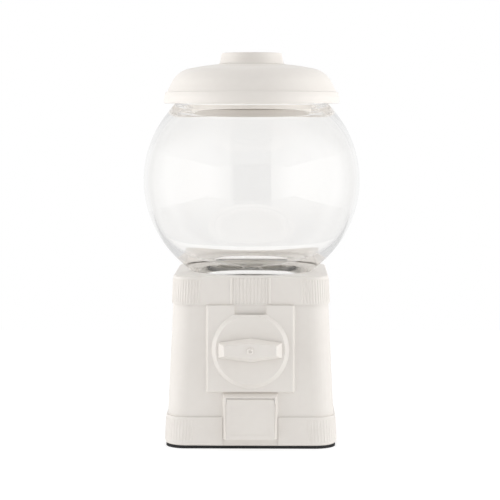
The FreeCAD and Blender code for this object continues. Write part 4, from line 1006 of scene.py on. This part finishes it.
@dataclass
class Lid:
    """Domed lid with its rim, skirt and round knob."""

    radius: float = 87.4
    rim_wall: float = 3.4
    rim_drop: float = 2.3
    rim_height: float = 11.6
    rim_slope_height: float = 4.6
    rim_slope: float = 1.2
    rim_lip: float = 0.9
    rim_bend: float = 2.0
    rim_root: float = 0.4
    crease: float = 84.4
    crease_depth: float = 0.6
    crease_ease: float = 0.5
    shoulder: tuple[float, float] = (79.0, 22.6)
    shoulder_curve: float = 26.0
    crown: tuple[float, float] = (61.0, 34.8)
    crown_curve: float = 250.0
    height: float = 38.9
    wall: float = 3.0
    inner_ease: float = 0.8
    skirt: float = 60.0
    skirt_wall: float = 2.5
    skirt_drop: float = 5.5
    skirt_root: float = 0.6
    skirt_tip: float = 0.7
    screw_hole: float = 2.6
    knob_foot: float = 33.0
    knob_low: float = 31.6
    knob_high: float = 29.9
    knob_height: float = 11.1
    knob_foot_height: float = 1.8
    knob_foot_ease: float = 0.3
    knob_bend: float = 0.8
    knob_wall: float = 3.0
    knob_edge: float = 1.2
    knob_roof_ease: float = 1.0
    arc_step: float = 3.0
    segments: int = 224
    knob_segments: int = 160
    finish: Finish = IVORY_ENAMEL

    def dome(self) -> list[Vector]:
        """Outline of the lid, from the inside of its rim round the outside to its inside.

        Returns:
            Points of the outline.
        """
        rim_inside = self.radius - self.rim_wall
        inside = self.crease - self.wall
        seat = self.rim_drop + self.wall
        under = self.height - self.wall
        inner_skirt = self.skirt - self.skirt_wall
        return outline([
            Corner(rim_inside, 0.0, ease=self.crease_ease),
            Corner(self.radius, 0.0, ease=self.rim_lip),
            Corner(self.radius, self.rim_height - self.rim_slope_height, ease=self.rim_bend),
            Corner(self.radius - self.rim_slope, self.rim_height - self.crease_depth,
                   ease=self.crease_ease),
            Corner(self.crease, self.rim_height, ease=self.crease_ease),
            Corner(*self.shoulder, curve=self.shoulder_curve),
            Corner(*self.crown, curve=self.crown_curve),
            Corner(self.knob_foot, self.height), Corner(self.screw_hole, self.height),
            Corner(self.screw_hole, under),
            Corner(self.knob_foot, under, curve=self.wall - self.crown_curve),
            Corner(self.crown[0] - self.wall / 4, self.crown[1] - self.wall,
                   curve=self.wall - self.shoulder_curve),
            Corner(self.shoulder[0] - self.wall, self.shoulder[1] - self.wall / 2),
            Corner(inside, self.rim_height, ease=self.inner_ease),
            Corner(inside, seat, ease=self.inner_ease),
            Corner(inner_skirt, seat, ease=self.skirt_root),
            Corner(inner_skirt, -self.skirt_drop, ease=self.skirt_tip),
            Corner(self.skirt, -self.skirt_drop, ease=self.rim_lip),
            Corner(self.skirt, self.rim_drop, ease=self.skirt_root),
            Corner(rim_inside, self.rim_drop, ease=self.rim_root)], self.arc_step)

    def knob(self) -> list[Vector]:
        """Outline of the hollow knob.

        Returns:
            Points of the outline.
        """
        roof = self.knob_height - self.knob_wall
        return outline([
            Corner(self.knob_low - self.knob_wall, 0.0),
            Corner(self.knob_foot, 0.0, ease=self.knob_foot_ease),
            Corner(self.knob_low, self.knob_foot_height, ease=self.knob_bend),
            Corner(self.knob_high, self.knob_height, ease=self.knob_edge),
            Corner(0.0, self.knob_height), Corner(0.0, roof),
            Corner(self.knob_high - self.knob_wall, roof, ease=self.knob_roof_ease)],
            self.arc_step)

    def build(self) -> None:
        """Make and dress the lid and its knob."""
        datum = Vector((0.0, 0.0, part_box("lid")[1].z - self.height * MM))
        dome = turned("lid_dome", self.dome(), self.segments, Matrix.Translation(datum))
        place_piece(dome, Body.LID, self.finish, "lid")
        foot = Vector((0.0, 0.0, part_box("lid_knob")[0].z))
        knob = turned("lid_knob_cap", self.knob(), self.knob_segments, Matrix.Translation(foot))
        place_piece(knob, Body.LID, self.finish, "lid_knob")


@dataclass
class Mechanism:
    """Working and fixing pieces, nearly all hidden, which keep their solids."""

    steel: Sequence[str] = (
        "hopper_screws", "wheel_pivot", "pivot_nut", "wheel_washer", "ball_guard", "guard_rivets",
        "drive_shaft", "coin_wheel", "ratchet_wheel", "shaft_clip", "click_spring",
        "click_spring_screw", "chute_screws", "door_pin", "faceplate_screws", "base_plate",
        "base_plate_screws", "lid_screw", "lid_washer")
    brass: Sequence[str] = ("front_bush", "rear_bush", "drive_pinion")
    plastic: Sequence[str] = ("hopper", "gumball_wheel", "chute")
    rubber: Sequence[str] = ("coin_plug",)
    pale_rubber: Sequence[str] = ("globe_gasket",)

    def build(self) -> None:
        """Dress the pieces."""
        for nodes, finish in (
                (self.steel, PLAIN_STEEL), (self.brass, PLAIN_BRASS),
                (self.plastic, MOULDED_PLASTIC), (self.rubber, BLACK_RUBBER),
                (self.pale_rubber, PALE_RUBBER)):
            for node in nodes:
                dress_node(node, finish)


# Studio


@dataclass
class Studio:
    """White studio: floor, light from all round with brighter sides, and the camera.

    A fade of the room's light follows a part of the direction that the light comes from, and a
    fade of the floor follows its clouds or its depth in metres.
    """

    distance: float = 1700.0
    height: float = 324.45
    focal_pixels: float = 1696.5
    image_pixels: float = 500.0
    pitch: float = 4.662
    azimuth: float = 0.856
    pan: float = 0.056
    sensor: float = 36.0
    farthest: float = 100000.0
    floor_half: float = 800.0
    floor_clouds: float = 3.0
    floor_tone: Fade = Fade(0.3, 0.7, 0.4, 0.408)
    floor_glow: float = 0.68
    floor_dimming: Fade = Fade(-0.2, 0.0, 1.0, 0.5)
    backdrop: float = 1.0
    sides: Fade = Fade(0.74, 0.96, 0.635, 3.0)
    ceiling: Fade = Fade(0.5, 0.95, 0.0, 0.35)
    least_spread: float = 0.001
    gap: Fade = Fade(0.17, 0.2, 0.0, 1.0)
    gap_light: float = 0.03
    panel_inner: Fade = Fade(0.185, 0.42, 0.55, 1.0)
    panel_top: Fade = Fade(0.2, 0.6, 1.0, 0.3)
    panel_back: Fade = Fade(0.35, 0.75, 1.0, 0.66)
    low_light: Fade = Fade(-0.22, -0.14, 0.3, 0.0)
    wall_edge: Fade = Fade(0.15, 0.45, 0.0, 1.0)
    wall_middle: Fade = Fade(0.6, 0.97, 0.66, 1.0)
    horizon: Fade = Fade(-0.078, -0.05, 0.98, 1.0)

    def camera(self) -> None:
        """Place the camera where the photograph was taken from."""
        lens = bpy.data.cameras.new("view")
        lens.sensor_width = self.sensor
        lens.lens = self.focal_pixels * self.sensor / self.image_pixels
        lens.clip_end = self.farthest * MM
        camera = bpy.data.objects.new("view", lens)
        turn = math.radians(self.azimuth)
        camera.location = Vector((
            self.distance * math.sin(turn), -self.distance * math.cos(turn), self.height)) * MM
        camera.rotation_euler = Euler((
            math.radians(90.0 - self.pitch), 0.0, turn + math.radians(self.pan)))
        bpy.context.scene.collection.objects.link(camera)
        bpy.context.scene.camera = camera

    def floor(self) -> None:
        """White floor that keeps the shadow of the object and is darker in mirrored light."""
        half = self.floor_half * MM
        corners = [(-half, -half, 0), (half, -half, 0), (half, half, 0), (-half, half, 0)]
        mesh = bpy.data.meshes.new("floor")
        mesh.from_pydata(corners, [], [range(len(corners))])
        material, tree, output = new_material("white_floor")
        cloud = add_node(tree, "ShaderNodeTexNoise", {"Scale": self.floor_clouds})
        tone = ramp(tree, cloud.outputs[0], self.floor_tone)
        colour = add_node(tree, "ShaderNodeCombineColor", {0: tone, 1: tone, 2: tone})
        matt = add_node(tree, "ShaderNodeBsdfDiffuse", {"Color": colour.outputs[0]})
        place = tree.nodes.new("ShaderNodeTexCoord").outputs["Object"]
        depth = add_node(tree, "ShaderNodeSeparateXYZ", {0: place}).outputs["Y"]
        glossy = tree.nodes.new("ShaderNodeLightPath").outputs["Is Glossy Ray"]
        mirrored = maths(tree, "SUBTRACT", glossy, seen_through(tree))
        dimmed = maths(tree, "MULTIPLY", mirrored, ramp(tree, depth, self.floor_dimming))
        glow = add_node(tree, "ShaderNodeEmission", {
            "Strength": ramp(tree, dimmed, Fade(0.0, 1.0, self.floor_glow, 0.0))})
        both = add_node(tree, "ShaderNodeAddShader", {0: matt.outputs[0], 1: glow.outputs[0]})
        tree.links.new(both.outputs[0], output.inputs["Surface"])
        floor = show("floor", mesh)
        floor.data.materials.append(material)

    def far_wall(self, tree: Tree, value: Socket) -> Socket:
        """Light of a white wall that is brightest in its middle.

        Args:
            tree: Tree that gets the nodes.
            value: How squarely a direction meets the wall, from 0 to 1.

        Returns:
            Strength of the light.
        """
        edge, middle = (ramp(tree, value, fade) for fade in (self.wall_edge, self.wall_middle))
        return maths(tree, "MULTIPLY", edge, middle)

    def soft_light(self, tree: Tree, way: Node) -> Socket:
        """Light that falls on matt surfaces, brightest from the sides.

        Args:
            tree: Tree that gets the nodes.
            way: Node with the direction that the light comes from.

        Returns:
            Strength of the light.
        """
        sides = ramp(tree, maths(tree, "ABSOLUTE", way.outputs["X"]), self.sides)
        return maths(tree, "ADD", sides, ramp(tree, way.outputs["Z"], self.ceiling))

    def mirrored_light(self, tree: Tree, way: Node, path: Node) -> Socket:
        """Light that is mirrored: a panel on each side with a dark gap between, and a far wall.

        The panels are laid out on the normal of the surface that mirrors them to the front, which
        lies halfway between the direction of the light and the front.

        Args:
            tree: Tree that gets the nodes.
            way: Node with the direction that the light comes from.
            path: Light Path node.

        Returns:
            Strength of the light.
        """
        across = maths(tree, "ABSOLUTE", way.outputs["X"])
        up, back = way.outputs["Z"], way.outputs["Y"]
        spread = maths(tree, "SQRT", maths(
            tree, "MAXIMUM", maths(tree, "MULTIPLY_ADD", back, -2.0, 2.0), self.least_spread))
        sideways, upright = (maths(tree, "DIVIDE", length, spread) for length in (across, up))
        panels = ramp(tree, sideways, self.gap)
        for value, fade in (
                (sideways, self.panel_inner), (upright, self.panel_top), (back, self.panel_back)):
            panels = maths(tree, "MULTIPLY", panels, ramp(tree, value, fade))
        low = maths(tree, "MULTIPLY", path.outputs["Is Reflection Ray"],
                    ramp(tree, upright, self.low_light))
        dark = maths(tree, "MAXIMUM", self.gap_light, low)
        ahead = maths(tree, "MAXIMUM", panels, dark)
        return maths(tree, "MAXIMUM", ahead, self.far_wall(tree, back))

    def light_beyond(self, tree: Tree, way: Node) -> Socket:
        """Light that is seen through the glass: the same white wall on every side.

        Args:
            tree: Tree that gets the nodes.
            way: Node with the direction that the light comes from.

        Returns:
            Strength of the light.
        """
        up = way.outputs["Z"]
        level = maths(tree, "SQRT", maths(tree, "MAXIMUM", maths(
            tree, "SUBTRACT", 1.0, maths(tree, "MULTIPLY", up, up)), 0.0))
        wall = self.far_wall(tree, level)
        return maths(tree, "MULTIPLY", wall, ramp(tree, up, self.horizon))

    def light(self) -> None:
        """Light the scene from a white room whose sides are the brightest."""
        world = bpy.data.worlds.new("white_room")
        bpy.context.scene.world = world
        world.use_nodes = True
        tree = world.node_tree
        tree.nodes.clear()
        way = add_node(tree, "ShaderNodeSeparateXYZ", {
            0: tree.nodes.new("ShaderNodeTexCoord").outputs["Generated"]})
        path = tree.nodes.new("ShaderNodeLightPath")
        bounced = maths(tree, "MAXIMUM", path.outputs["Is Glossy Ray"],
                        path.outputs["Is Transmission Ray"])
        shown = blend(tree, bounced, self.soft_light(tree, way),
                      self.mirrored_light(tree, way, path))
        shown = blend(tree, seen_through(tree), shown, self.light_beyond(tree, way))
        strength = blend(tree, path.outputs["Is Camera Ray"], shown, self.backdrop)
        room = add_node(tree, "ShaderNodeBackground", {
            "Color": (1.0, 1.0, 1.0, 1.0), "Strength": strength})
        output = tree.nodes.new("ShaderNodeOutputWorld")
        tree.links.new(room.outputs[0], output.inputs["Surface"])

    def build(self) -> None:
        """Make the studio."""
        bpy.context.scene.view_settings.view_transform = "Standard"
        self.camera()
        self.floor()
        self.light()


def main() -> None:
    """Build the machine and its studio in order."""
    logging.basicConfig(level=logging.INFO, format="%(name)s: %(message)s")
    for assembly in (Base(), Handle(), Globe(), Lid(), Mechanism(), Studio()):
        assembly.build()


if __name__ == "__main__":
    main()
